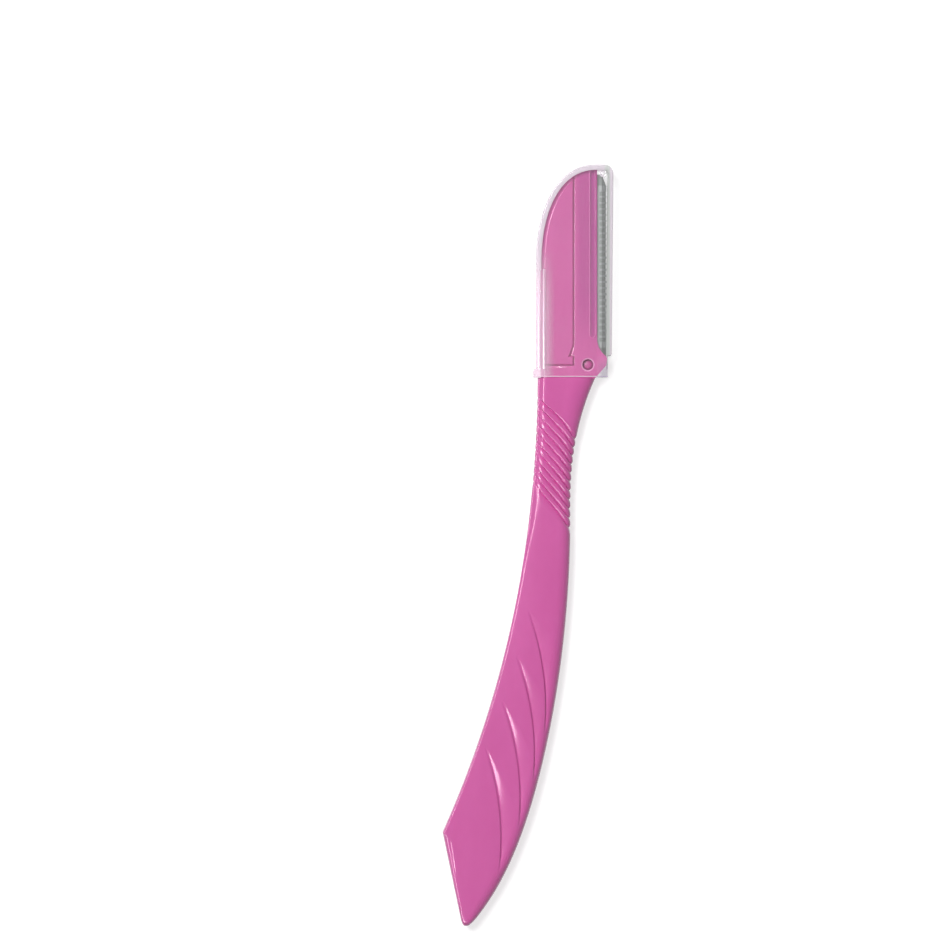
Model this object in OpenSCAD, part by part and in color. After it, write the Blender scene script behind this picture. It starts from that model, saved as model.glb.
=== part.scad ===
/* [Handle] */
// Length of the handle from its shoulder to the point of the butt
handle_l = 108.2; // [95:1:125]
// Width of the neck at the shoulder
neck_w = 11.4; // [10.8:0.2:12.4]
// Width of the waist below the ribs
waist_w = 8.1; // [7:0.1:9]
// Greatest width of the leaf-shaped butt
leaf_w = 15.8; // [13.6:0.2:17]
// How far the butt's corner swings out past the spine
butt_swing = 18.8; // [15:0.2:22]
// How far the butt's point lies back from its corner
point_back = 3.9; // [2.5:0.1:5]
// Width of the rounded point
point_w = 1.5; // [1:0.1:2.4]
// Thickness at the shoulder
neck_t = 4.8; // [4.6:0.1:5.6]
// Thickness at the waist
waist_t = 4.4; // [3.8:0.1:5]
// Thickness of the leaf
leaf_t = 5.2; // [4.6:0.1:6]
// Thickness beside the point
point_t = 3.4; // [2.4:0.1:4]
// Rounding of the handle's spine edge, measured across
spine_round = 1.2; // [1:0.1:1.6]
// Depth of the bevel along the neck's spine edge
neck_bevel = 1; // [0.6:0.1:1.3]
// Rounding of the handle's belly edge, measured across
belly_round = 2.4; // [1.6:0.1:2.8]
// Crown of the broad faces
crown = 0.25; // [0:0.05:0.4]

/* [Grip ribs] */
// Number of grooves across the waist
groove_count = 11; // [7:1:12]
// Distance from groove to groove along the handle
groove_pitch = 1.7; // [1.5:0.05:1.9]
// Depth of a groove
groove_d = 0.38; // [0.2:0.02:0.44]
// Distance from the shoulder to the middle of the first groove
groove_start = 8; // [7.5:0.1:9]

/* [Leaf scoops] */
// Number of crescent scoops on each face of the leaf
scoop_count = 4; // [2:1:4]
// Distance from the shoulder to the start of the first scoop
scoop_start = 45.9; // [44:0.5:50]
// Distance from scoop to scoop along the handle
scoop_pitch = 8.9; // [7:0.1:9.5]
// Length of a scoop along the handle
scoop_l = 26.4; // [20:0.2:28]
// Width of a scoop from its wall to where it runs out
scoop_w = 3.3; // [2:0.1:4]
// Depth of a scoop at its wall
scoop_d = 0.55; // [0.25:0.05:0.6]
// Bow of a scoop's wall
scoop_bow = 1.7; // [1:0.1:2.2]

/* [Head] */
// Length of the head from the shoulder to its tip
head_l = 41; // [36:0.5:48]
// Width of the head from its spine to the lip beside the blade
head_w = 11.1; // [10.4:0.1:12]
// Thickness of the head along its spine
head_t = 3.2; // [2.9:0.1:3.4]
// Thickness of the lip beside the blade
lip_t = 2.2; // [1.9:0.1:2.6]
// Length of the head's curved tip
tip_curve_l = 19; // [14:0.5:24]
// Step from the neck's spine edge in to the head's spine
spine_step = 0.6; // [0.5:0.05:0.8]
// Width of the bevel along the head's spine and curved tip
bevel_w = 0.8; // [0.6:0.1:1.6]
// Depth of that bevel
bevel_d = 0.6; // [0.3:0.05:0.9]
// How far the nose below the blade stands out past the lip
nose_reach = 2; // [1.95:0.05:2.4]
// Height of the nose's point above the shoulder
nose_h = 4; // [3.4:0.1:4.6]

/* [Lock flap] */
// Width of the flap from the head's spine to its seam
flap_w = 6.6; // [6.2:0.1:7]
// Height of the flap's lower seam above the shoulder
flap_base = 2.3; // [1.8:0.1:2.8]
// Width of the seam round the flap
seam = 0.22; // [0.12:0.02:0.3]
// Reach of the catch that holds the flap down
catch_reach = 0.7; // [0.4:0.05:1]
// Radius of the posts under the flap
post_r = 0.7; // [0.5:0.05:0.8]
// Width of the living hinge
hinge_w = 0.6; // [0.4:0.05:0.9]

/* [Blade] */
// Thickness of the blade
blade_t = 0.25; // [0.15:0.01:0.3]
// How far the cutting edge stands out past the lip
blade_reach = 1.75; // [1.5:0.05:1.9]
// Depth of the blade inside the head
blade_depth = 7.4; // [7:0.1:7.8]
// Width of the ground bevel
grind_w = 0.8; // [0.4:0.05:1]
// Width of the cutting edge's flat
edge_t = 0.02; // [0.02:0.005:0.05]
// Wall left between the blade's end and the head's curved tip
tip_wall = 0.9; // [0.7:0.05:1.3]
// Radius of the stake beside the blade's heel
stake_r = 0.85; // [0.6:0.05:0.95]

/* [Edge guard] */
// Thickness of the guard's foil
guard_t = 0.09; // [0.06:0.01:0.12]
// Distance from window to window
window_pitch = 1.2; // [1:0.05:1.6]
// Length of a window along the edge
window_l = 0.8; // [0.6:0.05:0.9]
// Width of the guard's plain strip beside the lip
strip_w = 0.5; // [0.3:0.05:0.7]
// Depth of the guard inside the head
guard_hold = 1; // [0.6:0.1:1.4]

/* [Cap] */
// Thickness of the cap's rim wall round the tip
rim_wall = 0.75; // [0.6:0.05:0.9]
// Thickness of the cap's front and back plates
plate_t = 0.6; // [0.5:0.05:0.8]
// Gap between the head's outline and the cap's rim
rim_gap = 0.22; // [0.2:0.01:0.3]
// Gap between the head's faces and the cap's plates
face_gap = 0.2; // [0.18:0.01:0.3]
// Gap between the cutting edge and the cap's rim
edge_gap = 0.35; // [0.3:0.05:0.6]
// Height above the shoulder at which the rim starts on the spine side
rim_start = 21.4; // [18:0.2:26]
// Corner radius at the cap's tip on the blade side
cap_corner_r = 1.8; // [1:0.1:2.4]
// Height of the bead round the cap's mouth
bead_h = 1.6; // [1.2:0.1:2]
// How far the bead stands out
bead_t = 0.2; // [0.1:0.05:0.3]

/* [Hidden] */
$fn = 48;

// Colours of the real pieces
body_colour = [0.80, 0.38, 0.64];
steel_colour = [0.62, 0.64, 0.64];
foil_colour = [0.72, 0.74, 0.73];
clear_colour = [0.92, 0.94, 0.96, 0.4];

// Shares of the handle's length
waist_share = 0.25;
thick_share = 0.72;
corner_share = 0.8285;
// Start of the spine's bend, above the shoulder
bend_share = -0.043;
// Powers of the handle's edge curves
bend_power = 2.24;
flare_power = 2.5;
belly_power = 2.06;
tip_power = 8.8;
edge_power = 2.4;
// Part of the bevel's width that the upright side's rounding takes
bevel_edge_share = 0.25;
// Slant of the first and the last groove, drop over run
groove_slant = [0.86, 1.05];
// Extra slant of a groove at the handle's edges, as a share of its width
groove_hook_share = 0.05;
// Shares of a groove's depth at the rings from one groove to the next, where a rib rises slowly to its crest
groove_profile_shares = [1, 0.5, 0.15, 0];
// Share of the handle's length over which the slant dies away after the last groove
unslant_share = 0.11;
// Parts of a ring's half width that the closely spaced points on each rounding take
spine_band_share = 0.42;
belly_band_share = 0.58;
// Start of the first and the last scoop, as shares of the width from the spine edge
scoop_start_shares = [0.26, 0.115];
// Distance of a scoop's end from the belly edge, as a share of that edge's rounding
scoop_stop_share = 0.35;

// Overrun of every cut
over = 1;
// Clearances of the pieces in their seats
blade_fit = 0.03;
post_fit = 0.05;
stake_fit = 0.1;
guard_fit = 0.08;
mouth_gap = 0.1;

// Numbers of points
neck_rings = 3;
unslant_rings = 5;
leaf_rings = 13;
point_rings = 9;
edge_points = 4;
face_points = 3;
scoop_rings = 9;
scoop_floor_points = 3;
tip_points = 18;
corner_points = 6;
taper_points = 6;
nose_points = 6;

// Places on the head, with x across from the neck's spine edge and y up from the shoulder
spine_x = spine_step;
lip_x = spine_x + head_w;
edge_x = lip_x + blade_reach;
nose_x = lip_x + nose_reach;
crest_x = spine_x + head_w * 0.2;
curve_y = head_l - tip_curve_l;
curve_power = 2.25;
blade_top = head_l - tip_wall;
blade_bottom = nose_h + post_fit;
blade_x = lip_x - blade_depth;
slot_t = blade_t + 2 * blade_fit;
guard_out_t = blade_t + 2 * guard_t + 2 * post_fit;
guard_slot_t = guard_out_t + 2 * guard_fit;
guard_x = lip_x - guard_hold;
nose_top = nose_h + nose_reach * 1.95;
nose_foot = nose_h * 0.6;
nose_power = 2.4;
seam_x = spine_x + flap_w;
catch_h = catch_reach * 3;
catch_y = flap_base + catch_h;
stake_x = lip_x - stake_r * 2.15;
stake_y = flap_base + stake_r * 0.3;
stake_hole_r = stake_r + stake_fit;
stake_face = taper_z((stake_x - crest_x) / (lip_x - crest_x));
stake_top = stake_face * 0.7;
stake_foot = -stake_face * 0.8;
tang_w = 2 * stake_hole_r + stake_r * 1.2;
post_x = blade_x + post_r * 1.6;
post_places = [0.3, 0.82];
post_len = head_t * 0.22;
flute_w = 1.14;
flute_d = 0.25;
lip_rim = 0.34;
flute_z = lip_t / 2 - flute_d;

// Places on the cap
cap_left = spine_x - rim_gap - rim_wall;
cap_top = head_l + rim_gap + rim_wall;
cap_flare = head_w * 0.03;
cap_inner_right = edge_x + edge_gap;
cap_right = cap_inner_right + rim_wall;
cavity_t = head_t + 2 * face_gap;
cap_t = cavity_t + 2 * plate_t;
bead_full_t = cap_t + 2 * bead_t;
rim_foot = nose_h + rim_gap;
ear_w = bead_t * 2.5;

function lerp(a, b, s) = a + (b - a) * s;
function clamp01(s) = max(0, min(1, s));
function ease(s) = (1 - cos(180 * clamp01(s))) / 2;
function part_of(t, t0, t1) = clamp01((t - t0) / (t1 - t0));

// The handle's outline at a share t of its length below the shoulder
function spine_bend(t) = -butt_swing * pow((t - bend_share) / (corner_share - bend_share), bend_power);
function waist_run(t) = part_of(t, waist_share, 1);
waist_x = waist_w + spine_bend(waist_share);
corner_drop = waist_x - (leaf_w - butt_swing);
point_drop = waist_x - (point_back + point_w - butt_swing);
corner_belly = pow(waist_run(corner_share), belly_power);
corner_tip = pow(waist_run(corner_share), tip_power);
tip_drop = (point_drop * corner_belly - corner_drop) / (corner_belly - corner_tip);
// How far the point's rounding draws the edges in
function point_pull(t) =
    let (c = clamp01(1 - (1 - t) * handle_l / point_w))
    point_w * 0.3 * (1 - sqrt(1 - c * c));
function spine_edge(t) =
    t < corner_share
    ? spine_bend(t)
    : -butt_swing + point_back * part_of(t, corner_share, 1) + point_pull(t);
function belly_edge(t) =
    t < waist_share
    ? waist_x + (neck_w - waist_x) * pow(1 - t / waist_share, flare_power)
    : let (
          s = waist_run(t),
          bow = (point_drop - tip_drop) * pow(s, belly_power),
          turn_in = tip_drop * pow(s, tip_power)
      )
      waist_x - bow - turn_in - point_pull(t);
function across(t) = belly_edge(t) - spine_edge(t);
function thick(t) =
    t < waist_share
    ? lerp(neck_t, waist_t, ease(t / waist_share))
    : t < thick_share
      ? lerp(waist_t, leaf_t, ease(part_of(t, waist_share, thick_share)))
      : lerp(leaf_t, point_t, pow(part_of(t, thick_share, 1), 2.2));

// Fall of a rounding from 1 at c = 0 to 0 at c = 1
function rounding(c) = pow(max(0, 1 - pow(c, edge_power)), 1 / edge_power);

// Fall at the spine edge: a bevel at the neck that turns into a rounding at the leaf
function spine_side(c, t) =
    let (
        corner = 1 - bevel_edge_share,
        slope = 1 - min(c, corner) * neck_bevel / corner / (thick(t) / 2),
        bevel = slope * rounding(clamp01((c - corner) / bevel_edge_share))
    )
    lerp(bevel, rounding(c), ease(part_of(t, waist_share, thick_share)));

// Height of the broad face above the middle plane at x, t
function face_z(x, t) =
    let (
        x0 = spine_edge(t),
        x1 = belly_edge(t),
        w = x1 - x0,
        r0 = min(spine_round, w * 0.45),
        r1 = min(belly_round, w * 0.45),
        c0 = clamp01(1 - (x - x0) / r0),
        c1 = clamp01(1 - (x1 - x) / r1),
        end = clamp01(1 - (1 - t) * handle_l / point_w),
        u = 2 * (x - x0) / w - 1,
        flat = thick(t) / 2 - crown * part_of(t, 0, waist_share)
    )
    (flat + (thick(t) / 2 - flat) * (1 - u * u)) * spine_side(c0, t) * rounding(c1) * rounding(end);

// Places across a ring, from -1 at the spine edge to 1 at the belly edge, close together on the roundings
function round_steps(n) = [for (i = [0 : n]) 1 - cos(90 * i / n)];
ring_places = concat(
    [for (s = round_steps(edge_points)) -1 + spine_band_share * s],
    [for (i = [1 : face_points]) lerp(-1 + spine_band_share, 1 - belly_band_share, i / (face_points + 1))],
    [for (i = [edge_points : -1 : 0]) 1 - belly_band_share * round_steps(edge_points)[i]]
);
groove_end = groove_start + (groove_count - 1) * groove_pitch;
groove_from = groove_start / handle_l;
groove_to = groove_end / handle_l;
function slant(t) =
    lerp(groove_slant[0], groove_slant[1], part_of(t, groove_from, groove_to))
    * min(part_of(t, 0, groove_from), 1 - ease(part_of(t, groove_to, groove_to + unslant_share)));
function ring_t(t, u) = t + slant(t) * across(t) / handle_l * (u / 2 + groove_hook_share * pow(u, 5));

// One slanted ring of points, drawn in by the groove's depth g
function ring(t, g) =
    let (
        front = [
            for (u = ring_places)
                let (
                    tu = ring_t(t, u),
                    x0 = spine_edge(tu),
                    x1 = belly_edge(tu),
                    x = lerp(x0, x1, (u + 1) / 2),
                    mid = (x0 + x1) / 2,
                    half = (x1 - x0) / 2,
                    z = face_z(x, tu)
                )
                [mid + (x - mid) * (1 - g / half), -tu * handle_l, z * (1 - g / (thick(tu) / 2))]
        ],
        n = len(front)
    )
    concat(front, [for (i = [n - 2 : -1 : 1]) [front[i][0], front[i][1], -front[i][2]]]);

groove_steps = len(groove_profile_shares);
handle_rings = concat(
    [for (i = [0 : neck_rings - 1]) ring(groove_from * i / neck_rings, 0)],
    [
        for (i = [0 : (groove_count - 1) * groove_steps])
            ring(
                groove_from + i * groove_pitch / groove_steps / handle_l,
                groove_d * groove_profile_shares[i % groove_steps]
            )
    ],
    [for (i = [1 : unslant_rings]) ring(groove_to + unslant_share * i / unslant_rings, 0)],
    [for (i = [1 : leaf_rings]) ring(lerp(groove_to + unslant_share, corner_share, i / leaf_rings), 0)],
    [for (i = [1 : point_rings]) ring(lerp(corner_share, 1, sin(90 * i / (point_rings + 0.15))), 0)]
);

// A closed solid through a list of rings, each with the same number of points
module skin(rings) {
    n = len(rings[0]);
    m = len(rings);
    sides = [
        for (j = [0 : m - 2])
            for (i = [0 : n - 1])
                let (a = j * n + i, b = j * n + (i + 1) % n)
                each [[a, b, b + n], [a, b + n, a + n]]
    ];
    fan_from = [for (i = [1 : n - 2]) [0, i + 1, i]];
    fan_to = [for (i = [1 : n - 2]) [(m - 1) * n, (m - 1) * n + i, (m - 1) * n + i + 1]];
    polyhedron(points = [for (r = rings) each r], faces = concat(sides, fan_from, fan_to), convexity = 6);
}

// Wall line of scoop k at a share s of its length, from its start by the spine to the belly edge
function scoop_line(k, s) =
    let (
        t0 = (scoop_start + k * scoop_pitch) / handle_l,
        t1 = t0 + scoop_l / handle_l,
        from = lerp(scoop_start_shares[0], scoop_start_shares[1], k / (scoop_count - 1)),
        start = [spine_edge(t0) + across(t0) * from, t0],
        stop = [belly_edge(t1) - belly_round * scoop_stop_share, t1]
    )
    [
        lerp(start[0], stop[0], s) + 4 * scoop_bow * s * (1 - s),
        lerp(start[1], stop[1], s)
    ];
// Depth of a scoop at its wall, above the surface at both ends so that the scoop fades in and out
function scoop_depth(s) = scoop_d * (min(1, sqrt(4 * s), 8 * (1 - s) - 0.4) - 0.12);
function scoop_ring(k, s) =
    let (
        p = scoop_line(k, s),
        w = min(scoop_w, belly_edge(p[1]) - belly_round * scoop_stop_share / 2 - p[0]),
        d = scoop_depth(s),
        n = scoop_floor_points,
        floor_line = [
            for (i = [0 : n])
                let (x = p[0] + w * i / n)
                [x, -p[1] * handle_l, face_z(x, p[1]) - lerp(d, -scoop_d * 0.15, i / n)]
        ]
    )
    concat(
        [for (i = [n : -1 : 0]) floor_line[i]],
        [[p[0], -p[1] * handle_l, leaf_t], [p[0] + w, -p[1] * handle_l, leaf_t]]
    );
module scoop(k) {
    skin([for (i = [0 : scoop_rings]) scoop_ring(k, i / scoop_rings)]);
}

module grip() {
    difference() {
        skin(handle_rings);
        for (k = [0 : scoop_count - 1]) {
            scoop(k);
            mirror([0, 0, 1]) scoop(k);
        }
    }
}

// Height of the head's face at a share s of the way from its crest to the lip
function taper_z(s) = lerp(head_t / 2, lip_t / 2, s * s);
// The curve of the head's tip, drawn in by d, or let out where d is below zero
function tip_curve(d) = [
    for (i = [0 : tip_points])
        let (a = 90 * i / tip_points)
        [
            lip_x - (head_w - d) * pow(cos(a), 2 / curve_power),
            curve_y + (tip_curve_l - d) * pow(sin(a), 2 / curve_power)
        ]
];
module head_outline() {
    polygon(concat(
        [[spine_x, -over]],
        tip_curve(0),
        [
            for (i = [0 : nose_points])
                let (s = i / nose_points)
                [lip_x + nose_reach * pow(s, nose_power), lerp(nose_top, nose_h, s)]
        ],
        [[nose_x - nose_reach * 0.1, nose_foot], [neck_w, 0], [neck_w - 2 * over, -over]]
    ));
}
// The head's outer form: bevelled along the spine and the curved tip, and thinner towards the blade
module head_form() {
    reach = [[nose_x + over, head_l - tip_curve_l / 2], [nose_x + over, -2 * over]];
    front = [for (i = [0 : taper_points]) let (s = i / taper_points) [lerp(crest_x, lip_x, s), taper_z(s)]];
    back = [for (i = [taper_points : -1 : 0]) [front[i][0], -front[i][1]]];
    intersection() {
        hull() {
            linear_extrude(head_t - 2 * bevel_d, center = true)
                polygon(concat([[spine_x, -2 * over]], tip_curve(0), reach));
            linear_extrude(head_t, center = true)
                polygon(concat([[spine_x + bevel_w, -2 * over]], tip_curve(bevel_w), reach));
        }
        translate([0, head_l, 0]) rotate([90, 0, 0]) linear_extrude(head_l + over)
            polygon(concat(
                [[spine_x - over, -head_t / 2], [spine_x - over, head_t / 2]],
                front,
                [[nose_x + over, lip_t / 2], [nose_x + over, -lip_t / 2]],
                back
            ));
    }
}
// The flap's outline, drawn in by d from the opening in the head
module flap_outline(d) {
    polygon([
        [spine_x - over, flap_base + d],
        [seam_x - d, flap_base + d],
        [seam_x - d, catch_y - d],
        [seam_x - catch_reach - d, catch_y - d],
        [seam_x - d, catch_y + catch_h + d],
        [seam_x - d, head_l + over],
        [spine_x - over, head_l + over]
    ]);
}
module at_posts() {
    for (s = post_places) translate([post_x, lerp(catch_y, curve_y + tip_curve_l / 2, s), 0]) children();
}
module at_stake() {
    translate([stake_x, stake_y, 0]) children();
}
// The half of space in front of height z
module front_of(z) {
    translate([0, 0, z]) linear_extrude(head_t) children();
}

// Shallow channel in the bridge beside the lip, open at the head's tip
module flute() {
    translate([lip_x - lip_rim - flute_w / 2, nose_top + flute_w / 2]) {
        circle(d = flute_w);
        translate([-flute_w / 2, 0]) square([flute_w, head_l - nose_top]);
    }
}
// The blade's outline grown by d, with its tang round the stake and its snipped corner at the tip
module blade_outline(d) {
    snip = [grind_w, blade_reach * 1.2];
    tang = tang_w + 2 * d;
    intersection() {
        union() {
            translate([blade_x - d, blade_bottom - d])
                square([edge_x - blade_x + 2 * d, blade_top - blade_bottom + 2 * d]);
            translate([stake_x - tang / 2, stake_y - tang / 2])
                square([tang, tang + blade_bottom - stake_y]);
        }
        polygon(concat(
            [[spine_x, 0]],
            tip_curve(tip_wall - d),
            [[edge_x - snip[0], blade_top + d], [edge_x + d, blade_top - snip[1]], [edge_x + d, 0]]
        ));
    }
}

module carrier() {
    difference() {
        intersection() {
            linear_extrude(head_t, center = true) head_outline();
            head_form();
        }
        front_of(-slot_t / 2) flap_outline(0);
        linear_extrude(slot_t, center = true) blade_outline(blade_fit);
        // wider mouth of the slot, round the guard
        linear_extrude(guard_slot_t, center = true)
            translate([guard_x - blade_fit, blade_bottom - blade_fit])
                square([nose_reach + guard_hold + over, blade_top - blade_bottom]);
        at_stake() cylinder(r = stake_hole_r, h = head_t);
        at_stake() translate([0, 0, stake_face - stake_fit])
            cylinder(r1 = stake_hole_r, r2 = stake_hole_r + 2 * stake_fit, h = 2 * stake_fit);
        at_stake() translate([0, 0, stake_foot]) cylinder(r = stake_r, h = head_t);
        at_posts() translate([0, 0, -slot_t / 2 - post_len])
            cylinder(r = post_r + post_fit, h = post_len + over);
        for (side = [0, 1]) mirror([0, 0, side]) front_of(flute_z) flute();
    }
}

module handle() {
    color(body_colour) union() {
        grip();
        carrier();
    }
}

module lock_flap() {
    color(body_colour) union() {
        intersection() {
            front_of(slot_t / 2) flap_outline(seam);
            head_form();
        }
        at_posts() translate([0, 0, -slot_t / 2 - post_len + post_fit])
            cylinder(r = post_r, h = slot_t + post_len + post_r - post_fit);
    }
}

// Web of the living hinge, between the flap's and the back plate's spine edges
module flap_hinge() {
    foot = flap_base + seam;
    color(body_colour) translate([spine_x, foot, 0]) {
        rotate([-90, 0, 0]) cylinder(d = slot_t, h = curve_y - foot);
        translate([0, 0, -slot_t / 2]) cube([hinge_w, curve_y - foot, slot_t]);
    }
}

module blade() {
    color(steel_colour) difference() {
        intersection() {
            translate([0, head_l, 0]) rotate([90, 0, 0]) linear_extrude(head_l)
                polygon([
                    [blade_x, -blade_t / 2],
                    [edge_x - grind_w, -blade_t / 2],
                    [edge_x, -edge_t / 2],
                    [edge_x, edge_t / 2],
                    [edge_x - grind_w, blade_t / 2],
                    [blade_x, blade_t / 2]
                ]);
            linear_extrude(head_t, center = true) blade_outline(0);
        }
        at_posts() cylinder(r = post_r + post_fit, h = head_t, center = true);
        at_stake() cylinder(r = stake_r + post_fit, h = head_t, center = true);
    }
}

// Foil folded over the cutting edge, with a window between each two rungs
module edge_guard() {
    in_t = blade_t + 2 * post_fit;
    bend_x = edge_x - grind_w;
    fold_x = edge_x + post_fit;
    low = nose_top - nose_reach;
    high = blade_top - blade_reach * 1.2 - guard_t;
    windows = floor((high - low - window_pitch) / window_pitch);
    first = low + (high - low - (windows - 1) * window_pitch - window_l) / 2;
    color(foil_colour) difference() {
        translate([0, high, 0]) rotate([90, 0, 0]) linear_extrude(high - low)
            polygon([
                [guard_x, -guard_out_t / 2], [bend_x, -guard_out_t / 2],
                [fold_x + guard_t, -guard_t], [fold_x + guard_t, guard_t],
                [bend_x, guard_out_t / 2], [guard_x, guard_out_t / 2],
                [guard_x, in_t / 2], [bend_x, in_t / 2], [fold_x, edge_t],
                [fold_x, -edge_t], [bend_x, -in_t / 2], [guard_x, -in_t / 2]
            ]);
        for (i = [0 : windows - 1])
            translate([lip_x + strip_w, first + i * window_pitch, -over])
                cube([blade_reach + over, window_l, 2 * over]);
    }
}

module blade_stake() {
    dome = stake_r * 0.25;
    color(body_colour) at_stake() rotate_extrude()
        polygon([
            [0, stake_foot], [stake_r, stake_foot], [stake_r, stake_top - dome],
            [stake_r - dome, stake_top], [0, stake_top]
        ]);
}

// Quarter of a circle of radius r that rounds the corner at x, y
function corner_arc(x, y, r) = [
    for (i = [0 : corner_points])
        let (a = 90 * (1 - i / corner_points))
        [x - r + r * cos(a), y - r + r * sin(a)]
];
// The cap's outline: curve on the spine side, rounded corner and straight side by the blade
module cap_outline() {
    polygon(concat(
        [[cap_left, mouth_gap]],
        tip_curve(-rim_gap - rim_wall),
        corner_arc(cap_right + cap_flare, cap_top, cap_corner_r),
        [[cap_right, rim_foot], [cap_right - rim_wall, rim_foot], [cap_right - rim_wall, mouth_gap]]
    ));
}
module cap_cavity() {
    polygon(concat(
        [[cap_left - over, -over], [cap_left - over, rim_start], [spine_x - rim_gap, rim_start]],
        tip_curve(-rim_gap),
        corner_arc(cap_inner_right + cap_flare, cap_top - rim_wall, cap_corner_r - rim_wall),
        [[cap_inner_right, rim_foot], [cap_right + over, rim_foot], [cap_right + over, -over]]
    ));
}
module blade_cap() {
    color(clear_colour) difference() {
        union() {
            linear_extrude(cap_t, center = true) cap_outline();
            translate([cap_left - ear_w, mouth_gap, -bead_full_t / 2])
                cube([cap_right - rim_wall - cap_left + ear_w, bead_h, bead_full_t]);
        }
        linear_extrude(cavity_t, center = true) cap_cavity();
    }
}

// The row frame: middle of the whole outline, with the lowest face on the ground
all_x = concat([cap_right + cap_flare], [for (r = handle_rings) for (p = r) p[0]]);
all_y = concat([cap_top], [for (r = handle_rings) for (p = r) p[1]]);
all_z = concat([bead_full_t / 2], [for (r = handle_rings) for (p = r) p[2]]);
module place() {
    translate([-(min(all_x) + max(all_x)) / 2, -(min(all_y) + max(all_y)) / 2, max(all_z)]) children();
}

place() handle();
place() lock_flap();
place() flap_hinge();
place() blade();
place() edge_guard();
place() blade_stake();
place() blade_cap();
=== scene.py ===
"""Looks of a face and eyebrow razor with a clear cap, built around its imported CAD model.

Lengths of the pieces are millimetres in the maker's own frame: x runs across from the neck's spine
edge, y runs up from the shoulder, and z is the height above the middle plane. The studio, the texture
scales and the depths of reliefs are in metres.
"""

import logging
import math
from collections.abc import Callable, Mapping, Sequence
from dataclasses import dataclass, field
from enum import Enum
from typing import Any

import bmesh
import bpy
import numpy as np
from mathutils import Matrix, Vector


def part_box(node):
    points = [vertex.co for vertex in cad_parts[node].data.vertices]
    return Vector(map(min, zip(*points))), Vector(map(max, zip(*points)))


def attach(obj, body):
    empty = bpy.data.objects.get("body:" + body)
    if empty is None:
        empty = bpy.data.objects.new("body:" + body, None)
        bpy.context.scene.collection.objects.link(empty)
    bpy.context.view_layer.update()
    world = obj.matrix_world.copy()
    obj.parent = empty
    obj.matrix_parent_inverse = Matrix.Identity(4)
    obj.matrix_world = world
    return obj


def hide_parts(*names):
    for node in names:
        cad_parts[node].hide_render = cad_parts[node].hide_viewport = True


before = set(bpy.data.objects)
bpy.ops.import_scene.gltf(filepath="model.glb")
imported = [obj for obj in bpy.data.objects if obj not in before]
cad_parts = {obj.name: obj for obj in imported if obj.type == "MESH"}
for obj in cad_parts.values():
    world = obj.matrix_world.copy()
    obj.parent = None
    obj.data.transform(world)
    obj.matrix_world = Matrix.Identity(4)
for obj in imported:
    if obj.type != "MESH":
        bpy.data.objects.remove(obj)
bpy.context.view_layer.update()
LOG = logging.getLogger("razor")
MM = 0.001
Array = np.ndarray
Pair = tuple[float, float]
Colour = tuple[float, float, float]
BEYOND = 3.0  # Height past every face of the head


def mix(a: Any, b: Any, share: Any) -> Any:
    """Value at a share of the way from a to b."""
    return a + (b - a) * share


def part_of(t: Any, start: float, stop: float) -> Any:
    """Share of the way from start to stop, held between 0 and 1."""
    return np.clip((t - start) / (stop - start), 0, 1)


def ease(share: Any) -> Any:
    """Soft start and stop of a share between 0 and 1."""
    return (1 - np.cos(np.pi * np.clip(share, 0, 1))) / 2


# Shader nodes


def operator(operation: str, reflected: bool = False) -> Callable[..., "Wire"]:
    """Makes an operator of shader values.

    Args:
        operation: Math operation, in Blender's own word.
        reflected: Whether the other value stands in front.

    Returns:
        A method that adds the Math node.
    """

    def method(self: "Wire", *others: Any) -> "Wire":
        """Adds the node."""
        values = (self, *others)
        return self.math(operation, *(values[::-1] if reflected else values))

    return method


class Wire:
    """One shader value, which adds a Math node for each operator used on it."""

    __add__, __radd__ = operator("ADD"), operator("ADD", True)
    __sub__, __rsub__ = operator("SUBTRACT"), operator("SUBTRACT", True)
    __mul__, __rmul__ = operator("MULTIPLY"), operator("MULTIPLY", True)
    __pow__, __rpow__ = operator("POWER"), operator("POWER", True)
    __abs__ = operator("ABSOLUTE")

    def __init__(self, book: "NodeBook", socket: bpy.types.NodeSocket) -> None:
        """Keeps an output socket and the book that it belongs to."""
        self.book = book
        self.socket = socket

    def math(self, operation: str, *values: Any) -> "Wire":
        """Result of a Math node with these numbers and wires."""
        node = self.book.add("ShaderNodeMath", {"operation": operation}, dict(enumerate(values)))
        return Wire(self.book, node.outputs[0])

    def above(self, low: float, high: float) -> "Wire":
        """Mask that rises smoothly from 0 at low to 1 at high."""
        settings, sockets = {"interpolation_type": "SMOOTHSTEP"}, {"Value": self, 1: low, 2: high}
        return Wire(self.book, self.book.add("ShaderNodeMapRange", settings, sockets).outputs[0])

    def below(self, low: float, high: float) -> "Wire":
        """Mask that falls smoothly from 1 at low to 0 at high."""
        return 1 - self.above(low, high)

    def band(self, rise: Pair, fall: Pair) -> "Wire":
        """Mask that rises over the first pair of numbers and falls over the second."""
        return self.above(*rise) * self.below(*fall)


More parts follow.
